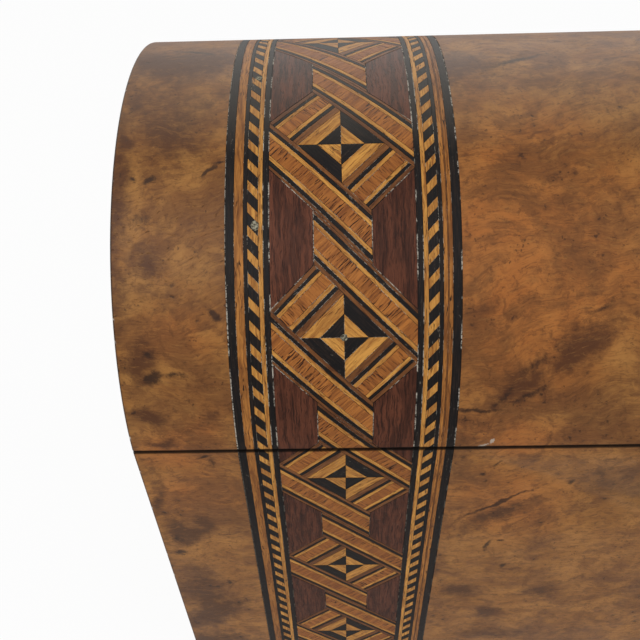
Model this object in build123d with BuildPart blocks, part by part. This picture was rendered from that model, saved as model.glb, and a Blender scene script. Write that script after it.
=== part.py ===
from build123d import *
from math import asin, cos, degrees, radians, sin, sqrt
import os

# Antique jewelry box with a domed lid, veneered in burr walnut, with two parquetry bands.
# Millimetres. The origin is the middle of the underside, +X is to the right, the front
# faces -Y and +Z is up.

# Outer form
WIDTH = 240.0
DEPTH = 126.0
JOINT_Z = 112.0
JOINT_GAP = 0.3
DOME_R = 63.2

# Stock
VENEER = 1.0
BOARD = 8.0
BOTTOM_BOARD = 6.0
BAIZE = 0.8
LINING = 3.0
LIP_RISE = 4.0
LIP_CLEARANCE = 1.5
FLOOR_PAD = 1.8
STAVES = 9

# Parquetry band: half its panel and the ready-made strip each side of that, then its repeat
# along the band, half the diagonal of its diamonds, and where one lies above the front joint
PANEL_HALF = 14.7
EDGE_STRIP = 8.7
BAND_X = 73.5
PERIOD = 40.2
SQUARE = 8.9
LID_DIAMOND = 27.8
CASE_DIAMOND = -10.65
SMALLEST_OFFCUT = 0.6

# Butt hinges with stops
HINGE_X = BAND_X
HINGE_LENGTH = 34.0
LEAF = 1.2
LEAF_DEPTH = 7.0
LEAF_GAP = 0.05
KNUCKLE_R = 2.2
KNUCKLE_GAP = 0.3
PIN_R = 1.0
PIN_FIT = 0.06
OPEN_ANGLE = 96.0
STOP_REACH = 5.8
STOP_SWEEP = 18.0
STOP_ROOT = 0.4
STOP_PLAY = 0.2

# Lock and key
LOCK_WIDTH = 40.0
LOCK_HEIGHT = 28.0
LOCK_DEPTH = 6.3
LOCK_WALL = 0.8
PLATE_WIDTH = 50.0
PLATE = 1.2
STAPLE_X = 10.0
STAPLE_WIDTH = 2.0
STAPLE_DEPTH = 3.8
STAPLE_LENGTH = 8.5
STAPLE_SLOT_PLAY = 0.8
EYE = 2.4
EYE_FOOT = 1.1
FINGER = 1.8
FINGER_REACH = 3.4
POST = 2.0
BOLT_X = (-18.0, 13.0)
BOLT_HEIGHT = 6.0
NOTCH_X = (-9.0, -2.2)
KEY_Z = 91.0
KEY_R = 2.0
KEY_CLEARANCE = 0.3
SLOT_CLEARANCE = 0.4
BIT_R = 5.4
BIT_WIDTH = 1.8
BOW_WIDTH = 14.0
BOW_HEIGHT = 18.0
BOW_RIM = 3.2
BOW_THICKNESS = 2.4
SHANK = 14.0
BOLT_THROW = 3.8
ESCUTCHEON_RIM = 1.3
ESCUTCHEON_STAND = 0.15

# Lift-out tray
TRAY_FLOOR_Z = 74.0
TRAY_HEIGHT = 30.0
TRAY_WALL = 3.0
TRAY_FLOOR = 2.0
TRAY_CLEARANCE = 0.7
RUNNER_DEPTH = 5.0
RUNNER_HEIGHT = 6.0
DIVIDER = 2.0
DIVIDER_DROP = 4.0
ROW_Y = 8.0
TRAY_LINING = 0.6
RING_ROLLS = 4
ROLL_HEIGHT = 15.0
PULL_WIDTH = 14.0
PULL_HEIGHT = 9.0
PULL_RISE = 5.0

# Lid padding
PAD_CROWN = 6.0
PAD_EDGE_Y = 52.9
PAD_FOOT_Z = 117.0
PAD_PLAY = 0.2
END_LINING = 1.0

# Places worked out from the sizes above
CORE_X = WIDTH / 2 - VENEER
CORE_Y = DEPTH / 2 - VENEER
ROOM_X = CORE_X - BOARD
ROOM_Y = CORE_Y - BOARD
INSIDE_X = ROOM_X - LINING
INSIDE_Y = ROOM_Y - LINING
CASE_TOP = JOINT_Z - JOINT_GAP / 2
LID_FOOT = JOINT_Z + JOINT_GAP / 2
FLOOR_Z = BAIZE + BOTTOM_BOARD
DOME_Z = JOINT_Z - sqrt(DOME_R**2 - (DEPTH / 2) ** 2)
DOME_FRONT = 180 - degrees(asin((JOINT_Z - DOME_Z) / DOME_R))
DOME_ARC = radians(2 * DOME_FRONT - 180) * DOME_R
STAVE_R = DOME_R - VENEER
HOLLOW_R = STAVE_R - BOARD
BAND_HALF = PANEL_HALF + EDGE_STRIP
PIN_Y = DEPTH / 2 + KNUCKLE_R + KNUCKLE_GAP
LEAF_TOP = JOINT_Z - LEAF_GAP
LEAF_FOOT = JOINT_Z + LEAF_GAP
CASE_POCKET = (LEAF_TOP - LEAF, JOINT_Z + 1)
LID_POCKET = (JOINT_Z - 1, LEAF_FOOT + LEAF)
ACROSS = (-PANEL_HALF, PANEL_HALF)
FREE = (-2 * PERIOD, 2 * PERIOD)

os.makedirs("parts", exist_ok=True)


def save(piece, name):
    """Writes one finished sub-part."""
    piece.part.label = name
    export_step(piece.part, f"parts/{name}.step")


# Shapes that are added to, or cut from, the part being built


def slab(x, y, z, mode=Mode.ADD):
    """A rectangular block, from its pairs of low and high along each axis."""
    middle = [(low + high) / 2 for low, high in (x, y, z)]
    with Locations(tuple(middle)):
        Box(*[high - low for low, high in (x, y, z)], mode=mode)


def mitred_board(half_long, half_short, thickness, z, turn):
    """One side of a mitred frame: the front at turn 0, and the next side round each 90."""
    inner_long = half_long - thickness
    inner_short = half_short - thickness
    with BuildSketch(Plane.XY.offset(z[0]).rotated((0, 0, turn))) as section:
        with BuildLine():
            Polyline(
                (-half_long, -half_short),
                (half_long, -half_short),
                (inner_long, -inner_short),
                (-inner_long, -inner_short),
                close=True,
            )
        make_face()
    extrude(section.sketch, amount=z[1] - z[0])


def bent_sheet(x, w):
    """A sheet of veneer bent over the dome, along w: the arc over it from the front joint."""
    start = DOME_FRONT - degrees(w[1] / DOME_R)
    arc_angle = degrees((w[1] - w[0]) / DOME_R)
    with BuildSketch(Plane.YZ.offset(x[0])) as section:
        with BuildLine():
            top = CenterArc((0, DOME_Z), DOME_R, start, arc_angle)
            under = CenterArc((0, DOME_Z), STAVE_R, start, arc_angle)
            Line(top @ 0, under @ 0)
            Line(top @ 1, under @ 1)
        make_face()
    extrude(section.sketch, amount=x[1] - x[0])


def dome_slice(x, radius, foot_z):
    """A slice of the solid dome of a radius, standing on a flat foot."""
    lean = degrees(asin((foot_z - DOME_Z) / radius))
    with BuildSketch(Plane.YZ.offset(x[0])) as section:
        with BuildLine():
            arc = CenterArc((0, DOME_Z), radius, lean, 180 - 2 * lean)
            Line(arc @ 0, arc @ 1)
        make_face()
    extrude(section.sketch, amount=x[1] - x[0])


def keyhole(y, margin, mode):
    """A keyhole outline, grown by a margin, through the depths y."""
    foot = BIT_R + SLOT_CLEARANCE + margin
    with BuildSketch(Plane.XZ.offset(-y[0])) as outline:
        with Locations((0, KEY_Z)):
            Circle(KEY_R + KEY_CLEARANCE + margin)
        with Locations((0, KEY_Z - foot / 2)):
            Rectangle(2 * (BIT_WIDTH / 2 + SLOT_CLEARANCE + margin), foot)
    extrude(outline.sketch, amount=y[0] - y[1], mode=mode)


def hinge_pockets(z, places=(-HINGE_X, HINGE_X)):
    """The shallow recesses for the hinge leaves, cut between two heights."""
    for x in places:
        half = HINGE_LENGTH / 2
        slab((x - half, x + half), (DEPTH / 2 - LEAF_DEPTH, DEPTH), z, Mode.SUBTRACT)


# The two surfaces that carry a band. w runs up the front, past 0 at the joint, and over the dome.


class Front:
    low = BAIZE - JOINT_Z
    high = CASE_TOP - JOINT_Z

    @staticmethod
    def sheet(x, w):
        slab(x, (-DEPTH / 2, -CORE_Y), (JOINT_Z + w[0], JOINT_Z + w[1]))

    @staticmethod
    def at(x, w):
        """A point of the surface, with its outward and its upward direction."""
        return Vector(x, -DEPTH / 2, JOINT_Z + w), Vector(0, -1, 0), Vector(0, 0, 1)


class Dome:
    low = LID_FOOT - JOINT_Z
    high = DOME_ARC - low

    @staticmethod
    def sheet(x, w):
        bent_sheet(x, w)
        if w[1] == Dome.high:
            hinge_pockets(LID_POCKET, places=(HINGE_X - BAND_X,))

    @staticmethod
    def at(x, w):
        """A point of the surface, with its outward and its upward direction."""
        angle = radians(DOME_FRONT) - w / DOME_R
        out = Vector(0, cos(angle), sin(angle))
        up = Vector(0, sin(angle), -cos(angle))
        return Vector(x, 0, DOME_Z) + out * DOME_R, out, up


def saw_cut(surface, x, w, slope):
    """A cut square to the surface at a point, rising to the right for slope 1, falling for -1."""
    point, out, up = surface.at(x, w)
    along = Vector(1, 0, 0) + up * slope
    return Plane(origin=point, x_dir=along, z_dir=along.cross(out) * slope)


def diamond_woods():
    """The pieces of one repeat of the pattern, about the middle of its diamond.

    A piece lies between two rising lines, where x - w is a pair of low and high values,
    between two falling lines, where x + w is, and in a range of x and of w.
    """
    ribbon = PERIOD / 2 - SQUARE
    waist = PANEL_HALF - SQUARE
    cap = 2 * PANEL_HALF - SQUARE
    pieces = []

    def piece(wood, rise=FREE, fall=FREE, x=ACROSS, w=FREE):
        pieces.append((wood, rise, fall, x, w))

    piece("tan", fall=(SQUARE, SQUARE + ribbon), x=(-waist, PANEL_HALF))
    piece("tan", fall=(-SQUARE - ribbon, -SQUARE), x=(-PANEL_HALF, waist))
    piece("light", rise=(SQUARE, cap), fall=(-SQUARE, SQUARE))
    piece("light", rise=(-cap, -SQUARE), fall=(-SQUARE, SQUARE))

    minus, plus = (-SQUARE, 0), (0, SQUARE)
    over, under = (-SQUARE, FREE[1]), (FREE[0], SQUARE)
    piece("light", rise=over, x=minus, w=plus)
    piece("light", rise=under, x=plus, w=minus)
    piece("ebony", fall=over, x=minus, w=minus)
    piece("ebony", fall=under, x=plus, w=plus)

    half, far = PERIOD / 2, PERIOD + SQUARE
    piece("rosewood", (FREE[0], PERIOD - cap), (-far, -half), (-PANEL_HALF, -waist))
    piece("rosewood", (cap - PERIOD, FREE[1]), (half, far), (waist, PANEL_HALF))
    return pieces


def clip(outline, a, b, limit):
    """The part of a flat outline where a * x + b * w is at most a limit."""
    kept = []
    for (x0, w0), (x1, w1) in zip(outline, outline[1:] + outline[:1]):
        past0, past1 = a * x0 + b * w0 - limit, a * x1 + b * w1 - limit
        if past0 <= 0:
            kept.append((x0, w0))
        if past0 * past1 < 0:
            share = past0 / (past0 - past1)
            kept.append((x0 + share * (x1 - x0), w0 + share * (w1 - w0)))
    return kept


def area(outline):
    """The area of a flat outline."""
    pairs = zip(outline, outline[1:] + outline[:1])
    return abs(sum(x0 * w1 - x1 * w0 for (x0, w0), (x1, w1) in pairs)) / 2


def cut_x(slope, value, x):
    """Where across the band a cut is square to the surface, the same for both its neighbours."""
    if slope < 0 and abs(value) >= SQUARE:
        return 0
    if x == ACROSS:
        return value / 2
    return (x[0] + x[1]) / 2


def wood_piece(surface, middle, rise, fall, x, w):
    """One piece of the pattern, its diamond's middle at w, or None where it runs off the end."""
    floor = max(middle + w[0], surface.low)
    roof = min(middle + w[1], surface.high)
    if floor >= roof:
        return None
    outline = [(x[0], floor), (x[1], floor), (x[1], roof), (x[0], roof)]
    cuts = []
    for slope, bounds in ((1, rise), (-1, fall)):
        for value, sign in zip(bounds, (-1, 1)):
            if value not in FREE:
                place = cut_x(slope, value, x)
                keep = Keep.BOTTOM if sign > 0 else Keep.TOP
                cuts.append((saw_cut(surface, place, middle + slope * (place - value), slope), keep))
                limit = sign * (value - slope * middle)
                outline = clip(outline, sign, -sign * slope, limit)
    if len(outline) < 3 or area(outline) < SMALLEST_OFFCUT:
        return None
    xs, ws = zip(*outline)
    spare = 1.5
    blank_x = max(min(xs) - spare, x[0]), min(max(xs) + spare, x[1])
    blank_w = max(min(ws) - spare, floor), min(max(ws) + spare, roof)
    with BuildPart() as made:
        surface.sheet(blank_x, blank_w)
        for plane, keep in cuts:
            split(bisect_by=plane, keep=keep)
    return made.part


def band_woods(surface, first_diamond, repeats):
    """All the pieces of one band on a surface, about x = 0, by wood."""
    woods = {"light": [], "tan": [], "ebony": [], "rosewood": []}
    for index in range(repeats):
        for wood, *bounds in diamond_woods():
            piece = wood_piece(surface, first_diamond + index * PERIOD, *bounds)
            if piece is not None:
                woods[wood].append(piece)
    for x in ((-BAND_HALF, -PANEL_HALF), (PANEL_HALF, BAND_HALF)):
        with BuildPart() as strip:
            surface.sheet(x, (surface.low, surface.high))
        woods["ebony"].append(strip.part)
    return woods


# Parquetry bands: up the front of the case and over the lid, the same band twice

for name, surface, first, repeats in (
    ("case", Front, CASE_DIAMOND - 3 * PERIOD, 5),
    ("lid", Dome, LID_DIAMOND - PERIOD, 6),
):
    for wood, pieces in band_woods(surface, first, repeats).items():
        placed = [Pos(x, 0, 0) * piece for x in (-BAND_X, BAND_X) for piece in pieces]
        with BuildPart() as band:
            add(placed, mode=Mode.REPLACE)
        save(band, f"{name}_band_{wood}")

# Walnut veneer: the front and the dome have three sheets each, beside and between the bands

sheets = (
    (-WIDTH / 2, -BAND_X - BAND_HALF),
    (-BAND_X + BAND_HALF, BAND_X - BAND_HALF),
    (BAND_X + BAND_HALF, WIDTH / 2),
)

with BuildPart() as case_veneer_front:
    for sheet_x in sheets:
        slab(sheet_x, (-DEPTH / 2, -CORE_Y), (BAIZE, CASE_TOP))
    keyhole((-DEPTH / 2 - 1, -CORE_Y), ESCUTCHEON_RIM, Mode.SUBTRACT)
save(case_veneer_front, "case_veneer_front")

with BuildPart() as case_veneer_back:
    slab((-WIDTH / 2, WIDTH / 2), (CORE_Y, DEPTH / 2), (BAIZE, CASE_TOP))
    hinge_pockets(CASE_POCKET)
save(case_veneer_back, "case_veneer_back")

with BuildPart() as lid_veneer_dome:
    for sheet_x in sheets:
        bent_sheet(sheet_x, (Dome.low, Dome.high))
    hinge_pockets(LID_POCKET)
save(lid_veneer_dome, "lid_veneer_dome")

for side, name in ((-1, "left"), (1, "right")):
    end_x = sorted((side * CORE_X, side * WIDTH / 2))
    with BuildPart() as case_veneer_end:
        slab(end_x, (-CORE_Y, CORE_Y), (BAIZE, CASE_TOP))
    save(case_veneer_end, f"case_veneer_{name}")
    with BuildPart() as lid_veneer_end:
        dome_slice(end_x, STAVE_R, LID_FOOT)
    save(lid_veneer_end, f"lid_veneer_{name}")

# Carcase: four mitred boards and a bottom board, on baize

LOCK_FRONT_Y = -ROOM_Y - LOCK_DEPTH
PLATE_FRONT_Y = LOCK_FRONT_Y - 1.0
LOCK_FOOT_Z = CASE_TOP - LOCK_HEIGHT

with BuildPart() as case_front:
    mitred_board(CORE_X, CORE_Y, BOARD, (BAIZE, CASE_TOP), 0)
    slab((-LOCK_WIDTH / 2, LOCK_WIDTH / 2), (LOCK_FRONT_Y, 0), (LOCK_FOOT_Z, JOINT_Z),
         Mode.SUBTRACT)
    slab((-PLATE_WIDTH / 2, PLATE_WIDTH / 2), (PLATE_FRONT_Y, 0), (CASE_TOP - PLATE, JOINT_Z),
         Mode.SUBTRACT)
    keyhole((-DEPTH / 2, 0), 0, Mode.SUBTRACT)
save(case_front, "case_front")

with BuildPart() as case_back:
    mitred_board(CORE_X, CORE_Y, BOARD, (BAIZE, CASE_TOP), 180)
    hinge_pockets(CASE_POCKET)
save(case_back, "case_back")

for turn, name in ((90, "case_right"), (270, "case_left")):
    with BuildPart() as case_end:
        mitred_board(CORE_Y, CORE_X, BOARD, (BAIZE, CASE_TOP), turn)
    save(case_end, name)

with BuildPart() as case_bottom:
    slab((-ROOM_X, ROOM_X), (-ROOM_Y, ROOM_Y), (BAIZE, FLOOR_Z))
save(case_bottom, "case_bottom")

with BuildPart() as base_baize:
    slab((-CORE_X, CORE_X), (-CORE_Y, CORE_Y), (0, BAIZE))
save(base_baize, "base_baize")

# Lining boards: full thickness in the case, with a thinner lip that the lid closes over

LIP_TOP = JOINT_Z + LIP_RISE
for turn, long_side, short_side, name in (
    (0, ROOM_X, ROOM_Y, "front"),
    (180, ROOM_X, ROOM_Y, "back"),
    (90, ROOM_Y, ROOM_X, "right"),
    (270, ROOM_Y, ROOM_X, "left"),
):
    with BuildPart() as lining:
        mitred_board(long_side, short_side, LINING, (FLOOR_Z, CASE_TOP), turn)
        mitred_board(long_side - LIP_CLEARANCE, short_side - LIP_CLEARANCE,
                     LINING - LIP_CLEARANCE, (CASE_TOP, LIP_TOP), turn)
    save(lining, f"lining_{name}")

with BuildPart() as floor_lining:
    slab((-INSIDE_X, INSIDE_X), (-INSIDE_Y, INSIDE_Y), (FLOOR_Z, FLOOR_Z + FLOOR_PAD))
save(floor_lining, "floor_lining")

with BuildPart() as tray_runners:
    for side in (-1, 1):
        runner_x = sorted((side * INSIDE_X, side * (INSIDE_X - RUNNER_DEPTH)))
        slab(runner_x, (-INSIDE_Y, INSIDE_Y), (TRAY_FLOOR_Z - RUNNER_HEIGHT, TRAY_FLOOR_Z))
save(tray_runners, "tray_runners")

# Lid: coopered staves over two end boards

STAVE_LEAN = 4.0
stave_step = (180 - 2 * STAVE_LEAN) / STAVES
corner_r = HOLLOW_R / cos(radians(stave_step / 2))


def on_section(radius, angle):
    """A point of the lid's cross-section, at a radius and an angle up from the back."""
    return radius * cos(radians(angle)), DOME_Z + radius * sin(radians(angle))


def lid_section(x, radius, foot_z):
    """A slice that fills the lid's many-sided section, out to its corners at a radius."""
    with BuildSketch(Plane.YZ.offset(x[0])) as section:
        with BuildLine():
            Polyline(*[on_section(radius, STAVE_LEAN + i * stave_step) for i in range(STAVES + 1)],
                     close=True)
        make_face()
    extrude(section.sketch, amount=x[1] - x[0])
    split(bisect_by=Plane.XY.offset(foot_z), keep=Keep.TOP)


stave_solids = []
for index in range(STAVES):
    low_angle = STAVE_LEAN + index * stave_step
    with BuildPart() as stave:
        with BuildSketch(Plane.YZ.offset(-CORE_X)):
            with BuildLine():
                arc = CenterArc((0, DOME_Z), STAVE_R, low_angle, stave_step)
                Polyline(
                    arc @ 0,
                    on_section(corner_r, low_angle),
                    on_section(corner_r, low_angle + stave_step),
                    arc @ 1,
                )
            make_face()
        extrude(amount=2 * CORE_X)
        split(bisect_by=Plane.XY.offset(LID_FOOT), keep=Keep.TOP)
        if index == 0:
            hinge_pockets(LID_POCKET)
        if index == STAVES - 1:
            slab((-PLATE_WIDTH / 2, PLATE_WIDTH / 2), (PLATE_FRONT_Y, 0),
                 (JOINT_Z, LEAF_FOOT + PLATE), Mode.SUBTRACT)
    stave_solids.append(stave.part)
with BuildPart() as lid_staves:
    add(stave_solids, mode=Mode.REPLACE)
save(lid_staves, "lid_staves")

for side, name in ((-1, "left"), (1, "right")):
    end_x = sorted((side * ROOM_X, side * CORE_X))
    with BuildPart() as lid_end:
        lid_section(end_x, corner_r, LID_FOOT)
    save(lid_end, f"lid_end_{name}")
    lining_x = sorted((side * (ROOM_X - END_LINING), side * ROOM_X))
    with BuildPart() as end_lining:
        lid_section(lining_x, corner_r - PAD_PLAY, LID_FOOT + JOINT_GAP)
    save(end_lining, f"lid_end_lining_{name}")

# Padding in the hollow of the lid: thick at the crown, and thin at its front and back edges

pad_r = HOLLOW_R - PAD_PLAY
pad_top = DOME_Z + pad_r - PAD_CROWN
pad_rise = pad_top - JOINT_Z
pad_inner_r = (pad_rise**2 + PAD_EDGE_Y**2) / (2 * pad_rise)
pad_half = ROOM_X - END_LINING - 0.1

with BuildPart() as lid_padding:
    with BuildSketch(Plane.YZ.offset(-pad_half)):
        with Locations((0, DOME_Z)):
            Circle(pad_r)
        with Locations((0, pad_top - pad_inner_r)):
            Circle(pad_inner_r, mode=Mode.SUBTRACT)
    extrude(amount=2 * pad_half)
    split(bisect_by=Plane.XY.offset(PAD_FOOT_Z), keep=Keep.TOP)
save(lid_padding, "lid_padding")

# Butt hinges. The case leaf has the outer knuckles, and the lid leaf has the middle one.
# A stop behind each leaf meets the other when the lid is fully open.

third = HINGE_LENGTH / 3
case_knuckles = ((-HINGE_LENGTH / 2, -third / 2 - KNUCKLE_GAP),
                 (third / 2 + KNUCKLE_GAP, HINGE_LENGTH / 2))
lid_knuckles = ((-third / 2, third / 2),)


def stop_outline(start, sweep_angle, inner_r, outer_r):
    """A sector about the hinge pin, by its angle up from straight back."""
    with BuildLine() as outline:
        far = CenterArc((PIN_Y, JOINT_Z), outer_r, start, sweep_angle)
        near = CenterArc((PIN_Y, JOINT_Z), inner_r, start, sweep_angle)
        Line(far @ 0, near @ 0)
        Line(far @ 1, near @ 1)
    make_face(outline.edges())


def hinge_leaf(x, z, knuckles, bore, stop_start):
    """One leaf: its plate, its knuckles and its stop."""
    half = HINGE_LENGTH / 2
    with BuildPart() as leaf:
        slab((x - half, x + half), (DEPTH / 2 - LEAF_DEPTH, DEPTH / 2), z)
        with BuildSketch(Plane.YZ.offset(x - half)):
            stop_outline(stop_start, STOP_SWEEP, KNUCKLE_R + KNUCKLE_GAP, STOP_REACH)
        extrude(amount=HINGE_LENGTH)
        for low, high in knuckles:
            slab((x + low, x + high), (DEPTH / 2 - 0.5, PIN_Y), z)
            with BuildSketch(Plane.YZ.offset(x + low)):
                with Locations((PIN_Y, JOINT_Z)):
                    Circle(KNUCKLE_R)
            extrude(amount=high - low)
            with BuildSketch(Plane.YZ.offset(x + low)):
                stop_outline(stop_start, STOP_SWEEP, KNUCKLE_R - STOP_ROOT, STOP_REACH)
            extrude(amount=high - low)
        with BuildSketch(Plane.YZ.offset(x - half)):
            with Locations((PIN_Y, JOINT_Z)):
                Circle(bore)
        extrude(amount=HINGE_LENGTH, mode=Mode.SUBTRACT)
    return leaf.part


STOP_MEET = OPEN_ANGLE / 2 + STOP_PLAY

case_leaves = [hinge_leaf(x, (LEAF_TOP - LEAF, LEAF_TOP), case_knuckles, PIN_R,
                          -STOP_MEET - STOP_SWEEP) for x in (-HINGE_X, HINGE_X)]
with BuildPart() as hinge_case_leaves:
    add(case_leaves)
save(hinge_case_leaves, "hinge_case_leaves")

lid_leaves = [hinge_leaf(x, (LEAF_FOOT, LEAF_FOOT + LEAF), lid_knuckles, PIN_R + PIN_FIT,
                         STOP_MEET) for x in (-HINGE_X, HINGE_X)]
with BuildPart() as hinge_lid_leaves:
    add(lid_leaves)
save(hinge_lid_leaves, "hinge_lid_leaves")

with BuildPart() as hinge_pins:
    for x in (-HINGE_X, HINGE_X):
        with BuildSketch(Plane.YZ.offset(x - HINGE_LENGTH / 2)):
            with Locations((PIN_Y, JOINT_Z)):
                Circle(PIN_R)
        extrude(amount=HINGE_LENGTH)
save(hinge_pins, "hinge_pins")

# Box lock: a shell under a top plate, a bolt with two fingers, and a link plate in the lid
# whose two staples drop into the lock for the fingers to enter

shell_x = (-LOCK_WIDTH / 2, LOCK_WIDTH / 2)
shell_y = (LOCK_FRONT_Y, -ROOM_Y)
shell_z = (LOCK_FOOT_Z, CASE_TOP - PLATE)
plate_x = (-PLATE_WIDTH / 2, PLATE_WIDTH / 2)
plate_y = (PLATE_FRONT_Y, -ROOM_Y)
lock_mid_y = (LOCK_FRONT_Y - ROOM_Y) / 2


def inset(pair, margin):
    """A pair of low and high, drawn in by a margin."""
    return pair[0] + margin, pair[1] - margin


def about(middle, width):
    """A pair of low and high about a middle."""
    return middle - width / 2, middle + width / 2


with BuildPart() as lock_case:
    slab(shell_x, shell_y, shell_z)
    slab(inset(shell_x, LOCK_WALL), inset(shell_y, LOCK_WALL),
         (shell_z[0] + LOCK_WALL, shell_z[1] + 1), Mode.SUBTRACT)
    keyhole((-DEPTH / 2, LOCK_FRONT_Y + LOCK_WALL + 0.1), 0, Mode.SUBTRACT)
save(lock_case, "lock_case")

with BuildPart() as lock_plate:
    slab(plate_x, plate_y, (CASE_TOP - PLATE, CASE_TOP))
    for side in (-1, 1):
        slab(about(side * STAPLE_X, STAPLE_WIDTH + STAPLE_SLOT_PLAY),
             about(lock_mid_y, STAPLE_DEPTH + STAPLE_SLOT_PLAY),
             (CASE_TOP - 2 * PLATE, JOINT_Z), Mode.SUBTRACT)
save(lock_plate, "lock_plate")

finger_z = LEAF_FOOT - STAPLE_LENGTH + EYE_FOOT + EYE / 2
with BuildPart() as link_plate:
    slab(plate_x, plate_y, (LEAF_FOOT, LEAF_FOOT + PLATE))
    for side in (-1, 1):
        slab(about(side * STAPLE_X, STAPLE_WIDTH), about(lock_mid_y, STAPLE_DEPTH),
             (LEAF_FOOT - STAPLE_LENGTH, LEAF_FOOT + PLATE))
        slab(about(side * STAPLE_X, STAPLE_WIDTH + 1), about(lock_mid_y, EYE),
             about(finger_z, EYE), Mode.SUBTRACT)
save(link_plate, "link_plate")

# The key's bit sweeps through a notch in the underside of the bolt and carries it along
bolt_foot = KEY_Z + KEY_R + SLOT_CLEARANCE
bolt_top = bolt_foot + BOLT_HEIGHT
notch_z = (bolt_foot - 1, KEY_Z + BIT_R + SLOT_CLEARANCE)
with BuildPart() as lock_bolt:
    slab(BOLT_X, about(lock_mid_y, FINGER), (bolt_foot, bolt_top))
    for side in (-1, 1):
        post_x = side * STAPLE_X - STAPLE_WIDTH - BOLT_THROW + STAPLE_SLOT_PLAY
        slab((post_x - POST, post_x), about(lock_mid_y, FINGER), (bolt_top, finger_z + FINGER / 2))
        slab((post_x - POST, post_x + FINGER_REACH), about(lock_mid_y, FINGER),
             about(finger_z, FINGER))
    slab(NOTCH_X, about(lock_mid_y, 2 * FINGER), notch_z, Mode.SUBTRACT)
save(lock_bolt, "lock_bolt")

with BuildPart() as escutcheon:
    keyhole((-DEPTH / 2 - ESCUTCHEON_STAND, -CORE_Y), ESCUTCHEON_RIM, Mode.ADD)
    keyhole((-DEPTH / 2 - 1, -CORE_Y + 1), 0, Mode.SUBTRACT)
save(escutcheon, "escutcheon")

shank_y = -DEPTH / 2 - SHANK
bow_y = shank_y + 1 - BOW_WIDTH / 2
key_tip_y = -ROOM_Y - 2 * LOCK_WALL
with BuildPart() as key:
    with BuildSketch(Plane.XZ.offset(-shank_y)):
        with Locations((0, KEY_Z)):
            Circle(KEY_R)
    extrude(amount=shank_y - key_tip_y)
    slab(about(0, BIT_WIDTH), about(lock_mid_y, 1.5 * FINGER), (KEY_Z - BIT_R, KEY_Z))
    with BuildSketch(Plane.YZ.offset(-BOW_THICKNESS / 2)):
        with Locations((bow_y, KEY_Z)):
            SlotOverall(BOW_HEIGHT, BOW_WIDTH, rotation=90)
            SlotOverall(BOW_HEIGHT - 2 * BOW_RIM, BOW_WIDTH - 2 * BOW_RIM, rotation=90,
                        mode=Mode.SUBTRACT)
    extrude(amount=BOW_THICKNESS)
save(key, "key")

# Lift-out tray: mitred walls, a floor, dividers, ring rolls and two ribbon pulls

TRAY_X = INSIDE_X - TRAY_CLEARANCE
TRAY_Y = INSIDE_Y - TRAY_CLEARANCE
TRAY_TOP = TRAY_FLOOR_Z + TRAY_HEIGHT
tray_sides = []
for turn, long_side, short_side in (
    (0, TRAY_X, TRAY_Y), (180, TRAY_X, TRAY_Y), (90, TRAY_Y, TRAY_X), (270, TRAY_Y, TRAY_X),
):
    with BuildPart() as tray_side:
        mitred_board(long_side, short_side, TRAY_WALL, (TRAY_FLOOR_Z, TRAY_TOP), turn)
    tray_sides.append(tray_side.part)
with BuildPart() as tray_walls:
    add(tray_sides, mode=Mode.REPLACE)
save(tray_walls, "tray_walls")

tray_in_x = TRAY_X - TRAY_WALL
tray_in_y = TRAY_Y - TRAY_WALL
tray_deck = TRAY_FLOOR_Z + TRAY_FLOOR
with BuildPart() as tray_floor:
    slab((-tray_in_x, tray_in_x), (-tray_in_y, tray_in_y), (TRAY_FLOOR_Z, tray_deck))
save(tray_floor, "tray_floor")

# One divider runs the length of the tray. Two cross the front row, and one crosses the back.
divider_z = (tray_deck, TRAY_TOP - DIVIDER_DROP)
row_wall = about(ROW_Y, DIVIDER)
front_splits = (-tray_in_x / 3, tray_in_x / 3)
back_split = tray_in_x / 3
with BuildPart() as tray_dividers:
    slab((-tray_in_x, tray_in_x), row_wall, divider_z)
    for x in front_splits:
        slab(about(x, DIVIDER), (-tray_in_y, row_wall[0]), divider_z)
    slab(about(back_split, DIVIDER), (row_wall[1], tray_in_y), divider_z)
save(tray_dividers, "tray_dividers")

front_edges = (-tray_in_x, *front_splits, tray_in_x)
compartments = [(front_edges[i], front_edges[i + 1], -tray_in_y, row_wall[0]) for i in range(3)]
compartments.append((back_split, tray_in_x, row_wall[1], tray_in_y))
with BuildPart() as tray_lining:
    for x0, x1, y0, y1 in compartments:
        slab((x0 + DIVIDER / 2, x1 - DIVIDER / 2), (y0, y1), (tray_deck, tray_deck + TRAY_LINING))
save(tray_lining, "tray_lining")

# Ring rolls: padded rolls that hold rings between them
roll_room = tray_in_y - row_wall[1]
roll_pitch = roll_room / RING_ROLLS
roll_r = roll_pitch / 2 - 0.1
roll_x = (-tray_in_x + 0.3, back_split - DIVIDER / 2 - 0.3)
with BuildPart() as ring_rolls:
    for index in range(RING_ROLLS):
        middle = row_wall[1] + (index + 0.5) * roll_pitch
        with BuildSketch(Plane.YZ.offset(roll_x[0])):
            with Locations((middle, tray_deck + ROLL_HEIGHT - roll_r)):
                Circle(roll_r)
            with Locations((middle, tray_deck + (ROLL_HEIGHT - roll_r) / 2)):
                Rectangle(2 * roll_r, ROLL_HEIGHT - roll_r)
        extrude(amount=roll_x[1] - roll_x[0])
save(ring_rolls, "ring_rolls")

with BuildPart() as tray_pulls:
    for side in (-1, 1):
        pull_x = sorted((side * tray_in_x, side * (tray_in_x - TRAY_LINING)))
        slab(pull_x, about(0, PULL_WIDTH), (TRAY_TOP - PULL_HEIGHT, TRAY_TOP + PULL_RISE))
save(tray_pulls, "tray_pulls")
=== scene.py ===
from math import asin, ceil, cos, floor, hypot, pi, radians, sin, sqrt
from random import Random

import bmesh
import bpy
from mathutils import Matrix, Vector


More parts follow.
